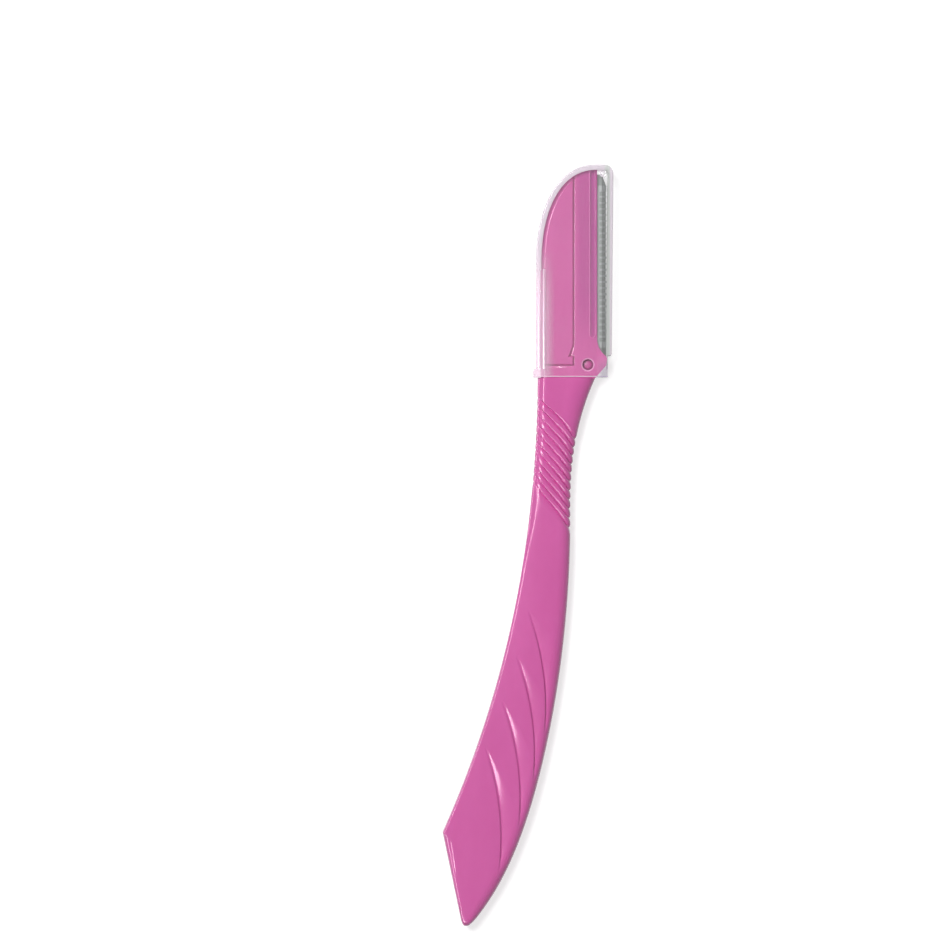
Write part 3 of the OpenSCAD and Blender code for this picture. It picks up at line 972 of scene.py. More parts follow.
    def scoop_depth(self, x: Array, t: Array) -> Array:
        """Depth of the crescent scoops at a place on the leaf.

        Args:
            x: Places across.
            t: Shares of the handle's length.

        Returns:
            The depths.
        """
        depth = np.zeros(np.broadcast(x, t).shape)
        for k in range(self.scoop_count):
            t0 = (self.scoop_start + k * self.scoop_pitch) / self.length
            t1 = t0 + self.scoop_l / self.length
            begin, end = np.array(t0), np.array(t1)
            turn = k / (self.scoop_count - 1)
            across = self.belly_edge(begin) - self.spine_edge(begin)
            start = self.spine_edge(begin) + across * mix(*self.scoop_start_shares, turn)
            stop = self.belly_edge(end) - self.belly_round * self.scoop_stop_share
            s = (t - t0) / (t1 - t0)
            wall = mix(start, stop, s) + 4 * self.scoop_bow * s * (1 - s)
            room = self.belly_edge(t) - self.belly_round * self.scoop_stop_share / 2 - wall
            width = np.maximum(np.minimum(self.scoop_w, room), self.scoop_least)
            inside = (s > 0) & (s < 1)
            steep = turn**self.scoop_turn_power * (1 - ease(part_of(s, *self.scoop_fade)))
            full = np.minimum(1, np.sqrt(self.scoop_entry * np.clip(s, 0, 1)))
            full = np.minimum(full, self.scoop_exit[0] * (1 - s) - self.scoop_exit[1]) - self.scoop_shallow
            full = np.maximum(full, 0) * self.scoop_d * inside
            slope = mix(*self.scoop_slopes, steep)
            rise = np.minimum(np.maximum(full * self.scoop_power / slope, self.scoop_least), width)
            floor = np.clip(1 - (x - wall) / rise, 0, 1) ** self.scoop_power
            cliff = ease((x - wall) / self.scoop_cliff + 0.5)
            depth = np.maximum(depth, full * floor * cliff)
        return depth

    def butt_drop(self, x: Array, t: Array) -> Array:
        """Depth of the low step beside the butt's facet, which fades out towards the point.

        Args:
            x: Places across.
            t: Shares of the handle's length.

        Returns:
            The depths.
        """
        s = part_of(t, self.corner_share, 1)
        lean, rise, fall = self.butt_step_runs
        edge = self.spine_edge(t) + mix(*self.butt_step_in, part_of(s, *lean))
        kept = ease(part_of(s, *rise)) * (1 - ease(part_of(s, *fall)))
        return self.butt_step * ease((edge - x) / self.butt_step_w + 0.5) * kept

    def rings(self) -> Array:
        """Slanted rings of points from the shoulder to the point.

        Returns:
            Points of each ring, ring by ring.
        """
        neck_step, rib_step, bend_step, leaf_step = self.ring_steps
        lead = self.groove_start - self.rib_lead
        last = self.groove_start + (self.groove_count - 1) * self.groove_pitch + self.rib_trail
        unslanted = last + self.unslant_share * self.length
        corner = self.corner_share * self.length
        lip = self.neck_lip
        turns = np.linspace(0, np.pi / 2, 6)
        places = np.concatenate(
            [
                lip * (1 - np.sin(turns[::-1])),
                np.arange(lip + 0.3, lead, neck_step),
                np.arange(lead, last, rib_step),
                np.arange(last, unslanted, bend_step),
                np.arange(unslanted, corner - 1, leaf_step),
                corner + np.linspace(-1, 1, 16)[:-1],
                corner + 1 + (self.length - corner - 1) * np.sin(np.linspace(0, np.pi / 2 * 0.985, 70)),
            ]
        )
        t = places / self.length
        drawn = self.rib_depth(t)
        drawn[: len(turns)] = lip * (1 - np.cos(turns[::-1]))
        u = np.sin(np.linspace(-np.pi / 2, np.pi / 2, self.ring_points))
        return self._ring_points(t[:, None], drawn[:, None], u[None, :])

    def _ring_points(self, t: Array, drawn: Array, u: Array) -> Array:
        """Points of slanted rings.

        Args:
            t: Place of each ring along the handle.
            drawn: How far each ring is drawn in from the plain surface.
            u: Places across, from -1 at the spine edge to 1 at the belly edge.

        Returns:
            Points of each ring: the front from spine to belly, then the back.
        """
        across = self.belly_edge(t) - self.spine_edge(t)
        tu = t + self.slant(t) * across / self.length * (u / 2 + self.groove_hook * u**5)
        tu = np.minimum(tu, 1)
        x0, x1 = self.spine_edge(tu), self.belly_edge(tu)
        x = mix(x0, x1, (u + 1) / 2)
        z = self.face_z(x, tu)
        drawn = drawn * self.rib_share(u)
        middle, half = (x0 + x1) / 2, (x1 - x0) / 2
        z = z * (1 - drawn / (self.thick(tu) / 2))
        z = z - self.butt_drop(x, tu) * (z > 4 * self.butt_step)
        z = np.maximum(z - self.scoop_depth(x, tu) * (z > self.scoop_d), 0)
        x = middle + (x - middle) * (1 - drawn / half)
        y = -tu * self.length
        front = np.stack([x, y + 0 * x, z], -1)
        back = front[:, -2:0:-1] * np.array([1, 1, -1])
        return np.concatenate([front, back], 1)


@dataclass(frozen=True)
class HeadForm:
    """Sizes and outlines of the flat head above the shoulder."""

    length: float = 41.0
    width: float = 11.1
    spine_t: float = 3.2
    lip_t: float = 2.2
    tip_curve_l: float = 19.0
    curve_power: float = 2.25
    spine_x: float = 0.6
    neck_w: float = 11.4
    bevel_w: float = 0.8
    bevel_d: float = 0.6
    nose_reach: float = 2.0
    nose_h: float = 4.0
    nose_power: float = 2.4
    nose_slope: float = 1.95
    crest_share: float = 0.2
    flap_w: float = 6.6
    flap_base: float = 2.3
    seam: float = 0.22
    catch_reach: float = 0.7
    catch_slope: float = 3.0
    post_r: float = 0.7
    post_fit: float = 0.05
    post_in: float = 1.6
    post_shares: Pair = (0.3, 0.82)
    hinge_w: float = 0.6
    blade_t: float = 0.25
    blade_reach: float = 1.75
    blade_depth: float = 7.4
    snip_slope: float = 1.2
    grind_w: float = 0.8
    edge_t: float = 0.02
    tip_wall: float = 0.9
    stake_r: float = 0.85
    stake_fit: float = 0.1
    stake_share: float = 0.8
    stake_in: Pair = (2.15, 0.3)
    tang_share: float = 1.2
    blade_fit: float = 0.03
    guard_t: float = 0.09
    window_pitch: float = 1.2
    window_l: float = 0.8
    strip_w: float = 0.5
    guard_hold: float = 1.0
    guard_fit: float = 0.08
    flute_w: float = 0.98
    flute_d: float = 0.14
    lip_rim: float = 0.34
    flute_bead: float = 0.28

    @property
    def lip_x(self) -> float:
        """Place of the lip beside the blade."""
        return self.spine_x + self.width

    @property
    def edge_x(self) -> float:
        """Place of the cutting edge."""
        return self.lip_x + self.blade_reach

    @property
    def nose_x(self) -> float:
        """Reach of the nose below the blade."""
        return self.lip_x + self.nose_reach

    @property
    def nose_top(self) -> float:
        """Height at which the nose starts."""
        return self.nose_h + self.nose_reach * self.nose_slope

    @property
    def crest_x(self) -> float:
        """Place from which the head gets thinner towards the blade."""
        return self.spine_x + self.width * self.crest_share

    @property
    def curve_y(self) -> float:
        """Height at which the curved tip starts."""
        return self.length - self.tip_curve_l

    @property
    def slot_t(self) -> float:
        """Height of the blade's slot."""
        return self.blade_t + 2 * self.blade_fit

    @property
    def blade_top(self) -> float:
        """Upper end of the blade."""
        return self.length - self.tip_wall

    @property
    def snip_y(self) -> float:
        """Height from which the blade's upper corner is snipped."""
        return self.blade_top - self.blade_reach * self.snip_slope

    @property
    def blade_bottom(self) -> float:
        """Lower end of the blade."""
        return self.nose_h + self.post_fit

    @property
    def blade_x(self) -> float:
        """Inner edge of the blade."""
        return self.lip_x - self.blade_depth

    @property
    def seam_x(self) -> float:
        """Place of the flap's seam."""
        return self.spine_x + self.flap_w

    @property
    def catch_h(self) -> float:
        """Height of the catch."""
        return self.catch_reach * self.catch_slope

    @property
    def catch_y(self) -> float:
        """Lower end of the catch."""
        return self.flap_base + self.catch_h

    @property
    def stake(self) -> Pair:
        """Centre of the stake."""
        return self.lip_x - self.stake_r * self.stake_in[0], self.flap_base + self.stake_r * self.stake_in[1]

    @property
    def stake_face(self) -> float:
        """Height of the head's face beside the stake."""
        return self.face_z(self.stake[0])

    @property
    def stake_foot(self) -> float:
        """Height of the stake's lower end."""
        return -self.stake_face * self.stake_share

    @property
    def seam_face(self) -> float:
        """Height of the head's face beside the flap's seam."""
        return self.face_z(self.seam_x)

    @property
    def posts(self) -> list[Pair]:
        """Centres of the posts under the flap."""
        x = self.blade_x + self.post_r * self.post_in
        return [(x, mix(self.catch_y, self.curve_y + self.tip_curve_l / 2, s)) for s in self.post_shares]

    def taper_z(self, s: Any) -> Any:
        """Height of the face at a share of the way from its crest to the lip."""
        return mix(self.spine_t / 2, self.lip_t / 2, s * s)

    def face_z(self, x: float) -> float:
        """Height of the face at a place across, above the middle plane."""
        return float(self.taper_z(part_of(x, self.crest_x, self.lip_x)))

    def tip_curve(self, inwards: float, steps: int = 72) -> Array:
        """Curve of the head's tip, drawn inwards.

        Args:
            inwards: How far it is drawn in.
            steps: Segments of the curve.

        Returns:
            Points from the spine to the tip.
        """
        a = np.linspace(0, np.pi / 2, steps + 1)
        power = 2 / self.curve_power
        x = self.lip_x - (self.width - inwards) * np.clip(np.cos(a), 0, 1) ** power
        y = self.curve_y + (self.tip_curve_l - inwards) * np.sin(a) ** power
        return np.column_stack([x, y])

    def outline(self) -> Array:
        """Outline of the head down into the neck.

        Returns:
            Points of the outline.
        """
        s = np.linspace(0, 1, 15)
        nose_y = mix(self.nose_top, self.nose_h, s)
        nose = np.column_stack([self.lip_x + self.nose_reach * s**self.nose_power, nose_y])
        foot = [(self.nose_x - self.nose_reach * 0.1, self.nose_h * 0.6), (self.neck_w, 0)]
        foot.append((self.neck_w - 2, -1))
        return np.concatenate([[(self.spine_x, -1)], self.tip_curve(0), nose, foot])

    def flap_outline(self, drawn: float) -> Array:
        """Outline of the flap, drawn in from the opening in the head.

        Args:
            drawn: How far it is drawn in.

        Returns:
            Points of the outline.
        """
        left, right, low, top = self.spine_x - 1, self.seam_x - drawn, self.flap_base + drawn, self.length + 1
        hook = [(right, self.catch_y - drawn), (right - self.catch_reach, self.catch_y - drawn)]
        hook.append((right, self.catch_y + self.catch_h + drawn))
        return np.array([(left, low), (right, low), *hook, (right, top), (left, top)])

    def flute_outline(self, over: float, steps: int) -> Array:
        """Outline of the flute beside the lip, which is round at its lower end.

        Args:
            over: How far it runs past the head's tip.
            steps: Points round its lower end.

        Returns:
            Points of the outline.
        """
        left, right = self.lip_x - self.lip_rim - self.flute_w, self.lip_x - self.lip_rim
        a = np.linspace(np.pi, 2 * np.pi, steps)
        r = self.flute_w / 2
        bowl = np.column_stack([(left + right) / 2 + r * np.cos(a), self.nose_top + r + r * np.sin(a)])
        return np.concatenate([bowl, [(right, self.length + over), (left, self.length + over)]])

    def blade_outline(self, grown: float) -> Array:
        """Outline of the blade with its tang and its snipped corner, grown all round.

        Args:
            grown: How far it is grown.

        Returns:
            Points of the outline.
        """
        curve = self.tip_curve(self.tip_wall - grown)
        left = self.blade_x - grown
        kept = curve[(curve[:, 0] > left + 0.02) & (curve[:, 1] < self.blade_top + grown)]
        tang = (2 * (self.stake_r + self.stake_fit) + self.stake_r * self.tang_share) / 2 + grown
        x, y = self.stake
        bottom = self.blade_bottom - grown
        start = np.interp(left, curve[:, 0], curve[:, 1])
        notch = [(x - tang, bottom), (x - tang, y - tang), (x + tang, y - tang), (x + tang, bottom)]
        edge = [(self.edge_x + grown, bottom), (self.edge_x + grown, self.snip_y)]
        edge.append((self.edge_x - self.grind_w, self.blade_top + grown))
        return np.array([(left, bottom), *notch, *edge, *kept[::-1], (left, start)])

    def solid(self, name: str, crease: float = 0.16) -> Form:
        """Outer form: bevelled along the spine and the tip, and thinner towards the blade.

        Args:
            name: Name of the form.
            crease: Size of the rounding along the bevel's creases.

        Returns:
            The form.
        """
        half, side = self.spine_t / 2, self.spine_t / 2 - self.bevel_d
        line = [(self.bevel_w + 1, half), (self.bevel_w, half), (0, side), (0, -side)]
        line += [(self.bevel_w, -half), (self.bevel_w + 1, -half)]
        right = self.nose_x + 1
        foot = [(right, self.length - self.tip_curve_l / 2), (right, -1)]
        rings = []
        for inwards, z in rounded(line, crease, 5)[1:-1]:
            rings.append(raised([(self.spine_x + inwards, -1), *self.tip_curve(inwards), *foot], z))
        form = Form.loft(name, rings)
        s = np.linspace(0, 1, 15)
        face = np.column_stack([mix(self.crest_x, self.lip_x, s), self.taper_z(s)])
        upper = np.array([(self.spine_x - 1, half + 0.2), *face, (self.nose_x + 2, self.lip_t / 2)])
        section = np.concatenate([upper, upper[::-1] * np.array([1, -1])])
        taper = Form.along_y("taper", [(-2, section), (self.length + 1, section)])
        return form.keep(taper, Form.prism("outline", self.outline(), -BEYOND, BEYOND))


# Pieces


@dataclass
class Piece:
    """A piece round the head's sizes, with its CAD node, its body and its material slot."""

    node: str = ""
    body: str = "razor"
    slot: str = "body_plastic"
    sharp_above: float = 35
    head: HeadForm = field(default_factory=HeadForm)

    def shape(self) -> Form:
        """Form of the piece in millimetres."""
        raise NotImplementedError

    def build(self, *finishes: bpy.types.Material) -> bpy.types.Object:
        """Builds the piece in the row frame.

        Args:
            finishes: Materials, of which the first covers all faces without one of their own.

        Returns:
            The piece.
        """
        form = self.shape()
        form.clean()
        thing, mesh = form.thing, form.thing.data
        mesh.transform(Matrix.Translation(ORIGIN) @ Matrix.Scale(MM, 4))
        mesh.materials.clear()
        for finish in finishes:
            mesh.materials.append(finish)
        mesh.polygons.foreach_set("use_smooth", [True] * len(mesh.polygons))
        mesh.set_sharp_from_angle(angle=math.radians(self.sharp_above))
        weighting = thing.modifiers.new("weighting", "WEIGHTED_NORMAL")
        weighting.keep_sharp = True
        form.apply()
        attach(thing, self.body)
        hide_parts(self.node)
        LOG.info("%s: %d faces", thing.name, len(thing.data.polygons))
        return thing


@dataclass
class HandleMoulding(Piece):
    """Handle, neck and the head's frame round the blade, moulded as one."""

    node: str = "handle"
    sharp_above: float = 62
    grip: GripForm = field(default_factory=GripForm)

    def beads(self) -> list[Form]:
        """Low beads round the flutes, front and back.

        Returns:
            The two forms.
        """
        h = self.head
        lip, foot = h.lip_t / 2, h.flute_bead
        section = [(-0.6, -foot), (0.0, -foot), (0.02, 0.05 - foot)]
        section += [(0.11, -0.01), (0.105, 0.03), (-0.6, 0.03)]
        inside = drawn_in(h.outline(), 0.03)
        forms = []
        for side in (1, -1):
            levels = [(side * (lip + z), d) for z, d in section]
            bead = Form.stacked("bead", h.flute_outline(-0.02, 14), levels, True)
            bead.lifted(lambda x: h.face_z(x) - lip)
            forms.append(bead.keep(Form.prism("outline", inside, -BEYOND, BEYOND)))
        return forms

    def frame_of_head(self) -> Form:
        """Head without the flap's opening, the blade's slot, the stake's seat and the flutes.

        Returns:
            The form.
        """
        h = self.head
        slot, lip, rim, face = h.slot_t / 2, h.lip_t / 2, h.seam_face, h.stake_face
        deep = h.blade_t / 2 + h.guard_t + h.post_fit + h.guard_fit
        left, low = h.lip_x - h.guard_hold - h.blade_fit, h.blade_bottom - h.blade_fit
        mouth = rectangle(left, low, h.nose_x + 2, h.blade_top - 2 * h.blade_fit)
        opening = [(-slot, 0.0), (rim - 0.16, 0.0), (rim - 0.1, -0.015), (rim - 0.07, -0.05)]
        opening += [(rim, -0.23), (rim + 0.06, -0.3), (BEYOND, -0.3)]
        flute, floor = h.flute_outline(1.0, 17), lip - h.flute_d
        levels = [(floor, 0.14), (floor + 0.03, 0.03), (floor + 0.06, 0.0), (lip - 0.01, 0.0), (BEYOND, 0.0)]
        r = h.stake_r + 2 * h.stake_fit
        seat = [(h.stake_r, h.stake_foot), (h.stake_r, 0.0), (r, 0.0), (r, face - 0.15)]
        seat += [(r + 0.02, face - 0.11), (r + 0.22, face - 0.02), (r + 0.3, face), (r + 0.34, face + 0.06)]
        seat.append((r + 0.34, BEYOND))
        return (
            h.solid("head_frame")
            .join(*self.beads())
            .cut(
                Form.stacked("opening", h.flap_outline(0), opening),
                Form.prism("slot", h.blade_outline(h.blade_fit), -slot, slot),
                Form.prism("mouth", mouth, -deep, deep),
                Form.stacked("flute", flute, levels),
                Form.stacked("flute", flute, [(-z, d) for z, d in levels[::-1]]),
                Form.turned("seat", seat, h.stake, 40).lifted(lambda x: h.face_z(x) - face),
            )
        )

    def shape(self) -> Form:
        """Handle and head as one form."""
        form = Form.loft("handle_moulding", self.grip.rings())
        return form.join(self.frame_of_head(), solver=Solver.MANIFOLD)


@dataclass
class LockFlap(Piece):
    """Flap that is folded over the blade and locked by its catch, with two posts under it."""

    node: str = "lock_flap"
    seam_depth: float = 0.5
    ledge_gap: float = 0.03
    post_share: float = 0.22

    def shape(self) -> Form:
        """Flap with a rounded seam, a ledge under it and its posts.

        Returns:
            The form.
        """
        h = self.head
        gap, rim = h.seam, h.seam_face
        ledge = rim - self.seam_depth
        levels = [(ledge - 0.05, gap), (rim - 0.14, gap), (rim - 0.06, gap + 0.05), (rim + 0.02, gap + 0.17)]
        levels += [(rim + 0.06, gap + 0.2), (BEYOND, gap + 0.2)]
        form = h.solid("lock_flap_moulding")
        inside = Form.stacked("flap", h.flap_outline(0), levels)
        form.keep(inside.join(Form.prism("ledge", h.flap_outline(self.ledge_gap), h.slot_t / 2, ledge)))
        foot = -h.slot_t / 2 - h.spine_t * self.post_share + h.post_fit
        post = [(h.post_r - 0.15, foot), (h.post_r, foot + 0.15), (h.post_r, h.slot_t)]
        return form.join(*(Form.turned("post", post, centre) for centre in h.posts))


@dataclass
class LivingHinge(Piece):
    """Thin web that joins the flap to the back plate along the spine."""

    node: str = "flap_hinge"
    ends: tuple[Pair, ...] = ((0.0, 0.55), (0.06, 0.85), (0.16, 1.0))
    top_size: float = 0.6

    def shape(self) -> Form:
        """Web with a rounded outer face and rounded ends.

        Returns:
            The form.
        """
        h = self.head
        foot, top = h.flap_base + h.seam, h.curve_y
        inner, r = h.spine_x + h.hinge_w, h.slot_t / 2
        a = np.linspace(np.pi / 2, np.pi * 3 / 2, 13)
        nose = np.column_stack([h.spine_x + r * np.cos(a), r * np.sin(a)])
        section = np.concatenate([nose, [(inner, -r), (inner, r)]])
        places = [(foot + along, size) for along, size in self.ends]
        places += [(top - self.ends[-1][0], 1), (top, self.top_size)]
        sections = []
        for place, size in places:
            across = mix(inner, section[:, 0], mix(1, size, 0.3))
            sections.append((place, np.column_stack([across, section[:, 1] * size])))
        return Form.along_y("living_hinge", sections)


@dataclass
class BladeStrip(Piece):
    """Stainless strip with a ground bevel, a honed edge, a tang and holes for the posts and the stake."""

    node: str = "blade"
    slot: str = "blade_steel"
    sharp_above: float = 8
    hone_w: float = 0.16
    hone_t: float = 0.07

    def shape(self) -> Form:
        """Strip inside the blade's outline, with its holes.

        Returns:
            The form.
        """
        h = self.head
        half = h.blade_t / 2
        upper = [(h.blade_x, half), (h.edge_x - h.grind_w, half)]
        upper += [(h.edge_x - self.hone_w, self.hone_t / 2), (h.edge_x, h.edge_t / 2)]
        section = np.array(upper + [(x, -z) for x, z in upper[::-1]])
        form = Form.along_y("blade_strip", [(h.stake[1] - 4, section), (h.length, section)])
        form.keep(Form.prism("blade_outline", h.blade_outline(0), -1, 1))
        for r, centre in [(h.post_r, post) for post in h.posts] + [(h.stake_r, h.stake)]:
            form.cut(Form.turned("hole", [(r + h.post_fit, -1), (r + h.post_fit, 1)], centre))
        return form


@dataclass
class EdgeGuard(Piece):
    """Foil folded over the cutting edge, with a rung between each two windows."""

    node: str = "edge_guard"
    slot: str = "guard_steel"
    fold_round: Pair = (0.09, 0.03)
    window_round: float = 0.18

    def shape(self) -> Form:
        """Folded foil with its windows.

        Returns:
            The form.
        """
        h = self.head
        low, high = h.nose_top - h.nose_reach, h.snip_y - h.guard_t
        inner = h.blade_t / 2 + h.post_fit
        outer = inner + h.guard_t
        start, bend, fold = h.lip_x - h.guard_hold, h.edge_x - h.grind_w, h.edge_x + h.post_fit
        outside = [(start, outer), (bend, outer), (fold + h.guard_t, 0.0), (bend, -outer), (start, -outer)]
        inside = [(start, -inner), (bend, -inner), (fold, 0.0), (bend, inner), (start, inner)]
        outside, inside = rounded(outside, self.fold_round[0], 5), rounded(inside, self.fold_round[1], 3)
        section = np.concatenate([outside, inside])
        form = Form.along_y("edge_guard_foil", [(low, section), (high, section)])
        count = math.floor((high - low - h.window_pitch) / h.window_pitch)
        first = low + (high - low - (count - 1) * h.window_pitch - h.window_l) / 2
        for i in range(count):
            y = first + i * h.window_pitch
            window = rectangle(h.lip_x + h.strip_w, y, h.edge_x + 1, y + h.window_l)
            window = rounded(window, self.window_round, 4, True)
            form.cut(Form.prism("window", window, -1, 1), solver=Solver.MANIFOLD)
        return form


@dataclass
class BladeStake(Piece):
    """Pin beside the blade's heel, which is melted to a dome over the blade."""

    node: str = "blade_stake"
    dome_r: float = 1.04
    dome_z: float = 0.2
    dome_h: float = 0.36

    def shape(self) -> Form:
        """Shank and dome, which ends below the head's face.

        Returns:
            The form.
        """
        h = self.head
        seat = h.slot_t / 2
        a = np.linspace(0, np.pi / 2, 12)[:-1]
        dome = np.column_stack([self.dome_r * np.cos(a), self.dome_z + self.dome_h * np.sin(a)])
        profile = [(h.stake_r, h.stake_foot), (h.stake_r, seat), (self.dome_r, seat), *dome]
        return Form.turned("stake_pin", [*profile, (0.02, self.dome_z + self.dome_h)], h.stake, 48)


@dataclass
class BladeCap(Piece):
    """Clear pull-off cap: two plates, a rim round the tip and beside the blade, and a bead at its mouth."""

    node: str = "blade_cap"
    body: str = "cap"
    slot: str = "clear_plastic"
    sharp_above: float = 32
    rim_wall: float = 0.75
    plate_t: float = 0.6
    rim_gap: float = 0.22
    face_gap: float = 0.2
    edge_gap: float = 0.35
    rim_start: float = 21.4
    corner_r: float = 1.8
    flare_share: float = 0.03
    outer_round: float = 0.28
    inner_round: float = 0.15
    bead_h: float = 1.6
    bead_t: float = 0.2
    bead_out: float = 2.5
    bead_rounds: Pair = (0.3, 0.17)
    bead_in: float = 0.03
    mouth_gap: float = 0.1
    mouth_h: float = 0.24
    mouth_rounds: Pair = (0.06, 0.05)
    recess: float = 0.04
    ridges: Pair = (-0.02, 0.98)
    ridge_fade: float = 5.0
    ridge_x: tuple[float, ...] = (0, 0.04, 0.3, 0.42, 0.54, 0.56)
    ridge_z: tuple[float, ...] = (-0.1, 0.0, 0.11, 0.12, 0.0, -0.1)
    gate_in: Pair = (1.25, 1.15)

    @property
    def left(self) -> float:
        """Place of the spine side's outer face."""
        return self.head.spine_x - self.rim_gap - self.rim_wall

    @property
    def top(self) -> float:
        """Height of the outer face over the tip."""
        return self.head.length + self.rim_gap + self.rim_wall

    @property
    def inner_right(self) -> float:
        """Place of the rim's inner face beside the blade."""
        return self.head.edge_x + self.edge_gap

    @property
    def flare(self) -> float:
        """How far the side by the blade leans out at its top."""
        return self.head.width * self.flare_share

    @property
    def rim_foot(self) -> float:
        """Lower end of the rim beside the blade."""
        return self.head.nose_h + self.rim_gap

    @property
    def inner_half(self) -> float:
        """Height of the plates' inner faces above the middle plane."""
        return self.head.spine_t / 2 + self.face_gap

    @property
    def half(self) -> float:
        """Height of the rim's flat face above the middle plane."""
        return self.inner_half + self.plate_t

    @property
    def bead_top(self) -> float:
        """Upper end of the bead round the mouth."""
        return self.mouth_gap + self.bead_h

    def corner(self, x: float, y: float, r: float) -> Array:
        """Rounding of the upper corner beside the blade."""
        a = np.linspace(np.pi / 2, 0, 17)
        return np.column_stack([x - r + r * np.cos(a), y - r + r * np.sin(a)])

    def outer(self) -> Array:
        """Outer outline.

        Returns:
            Points of the outline.
        """
        left, right, foot = self.left, self.inner_right + self.rim_wall, self.rim_foot
        curve = self.head.tip_curve(-self.rim_gap - self.rim_wall)
        corner = self.corner(right + self.flare, self.top, self.corner_r)
        end = [(right, foot + 0.35), (right - 0.12, foot + 0.1), (right - 0.35, foot)]
        end += [(right - self.rim_wall, foot), (right - self.rim_wall, self.mouth_gap)]
        return np.concatenate([[(left, self.mouth_gap)], curve, corner, end])

    def cavity(self) -> Array:
        """Outline of the space inside the rim, open at the mouth and at the spine side.

        Returns:
            Points of the outline.
        """
        left, right = self.left - 1, self.inner_right
        start = [(left, -1), (left, self.rim_start), (self.head.spine_x - self.rim_gap, self.rim_start)]
        curve = self.head.tip_curve(-self.rim_gap)
        corner = self.corner(right + self.flare, self.top - self.rim_wall, self.corner_r - self.rim_wall)
        return np.concatenate(
            [start, curve, corner, [(right, self.rim_foot), (right + 2, self.rim_foot), (right + 2, -1)]]
        )

    def mouth(self) -> list[Form]:
        """Bead round the mouth and the narrow edge at its end.

        Returns:
            The two forms.
        """
        left, right, low = self.left - self.bead_t * self.bead_out, self.inner_right, self.mouth_gap
        full = self.half + self.bead_t
        forms = []
        for name, outline, rounds, drop in (
            ("bead", rectangle(left, low, right, self.bead_top), self.bead_rounds, self.bead_in),
            ("mouth_edge", rectangle(left - 0.02, low, right, low + self.mouth_h), self.mouth_rounds, 0),
        ):
            outline = rounded(outline, rounds[0], 4, True)
            forms.append(Form.prism(name, outline, drop - full, full - drop, rounds[1]))
        return forms

    def side_ridges(self) -> list[Form]:
        """Ridges along the spine side, front and back, which fade out towards the tip.

        Returns:
            The four forms.
        """
        x, z, top = np.array(self.ridge_x), np.array(self.ridge_z), self.rim_start
        places = ((self.bead_top - 0.1, 1), (top - self.ridge_fade, 1), (top - 0.05, 0.1))
        forms = []
        for start in self.ridges:
            for side in (1, -1):
                sections = []
                for place, share in places:
                    height = side * (self.half + np.where(z > 0, z * share, z))
                    sections.append((place, np.column_stack([x + start, height])))
                forms.append(Form.along_y("ridge", sections))
        return forms

    def gate_mark(self) -> Form:
        """Low domed mark where the plastic entered the mould, in the corner over the blade's tip.

        Returns:
            The mark.
        """
        z = self.half - self.recess
        centre = (self.inner_right + self.flare - self.gate_in[0], self.top - self.rim_wall - self.gate_in[1])
        profile = [(0.7, z - 0.1), (0.68, z + 0.06), (0.6, z + 0.11), (0.48, z + 0.05)]
        profile += [(0.4, z + 0.04), (0.33, z + 0.13), (0.2, z + 0.17), (0.03, z + 0.17)]
        return Form.turned("gate", profile, centre, 24)

    def shape(self) -> Form:
        """Shell with its bead, ridges and gate mark.

        Returns:
            The form.
        """
        half, inner = self.half, self.inner_half
        form = Form.prism("cap_moulding", self.outer(), -half, half, self.outer_round, 5)
        pane = drawn_in(self.cavity(), self.rim_gap + 0.1)
        form.cut(Form.prism("pane", pane, half - self.recess, half + 1))
        form.cut(Form.prism("pane", pane, -half - 1, self.recess - half))
        form.join(*self.mouth(), *self.side_ridges(), self.gate_mark())
        return form.cut(Form.prism("cavity", self.cavity(), -inner, inner, self.inner_round))

    def build(self, *finishes: bpy.types.Material) -> bpy.types.Object:
        """Builds the cap and gives the second finish to all but the rim and the outer creases.

        Args:
            finishes: Finish of the rim, and finish of the plates.

        Returns:
            The piece.
        """
        piece = super().build(*finishes)
        start = self.head.spine_x - self.rim_gap + 0.05
        for face in piece.data.polygons:
            x, y, z = (face.center - ORIGIN) / MM
            level, outside = abs(face.normal.z), abs(z) > self.half
            pane = level > 0.99 and abs(abs(z) - self.half) > 0.01
            open_side = x < start and y < self.rim_start
            clear = pane or open_side or y < self.bead_top + 0.05 or level < 0.3
            # Faces along the mouth's edge and the sloped outer faces of the ridges take the rim's milky
            # finish: painted highlight lines.
            at_edge = outside and y < self.mouth_gap + 0.25
            at_ridge = outside and y > self.bead_top and 0.3 < level < 0.98
            face.material_index = int(clear and not at_edge and not at_ridge)
        return piece


# Studio


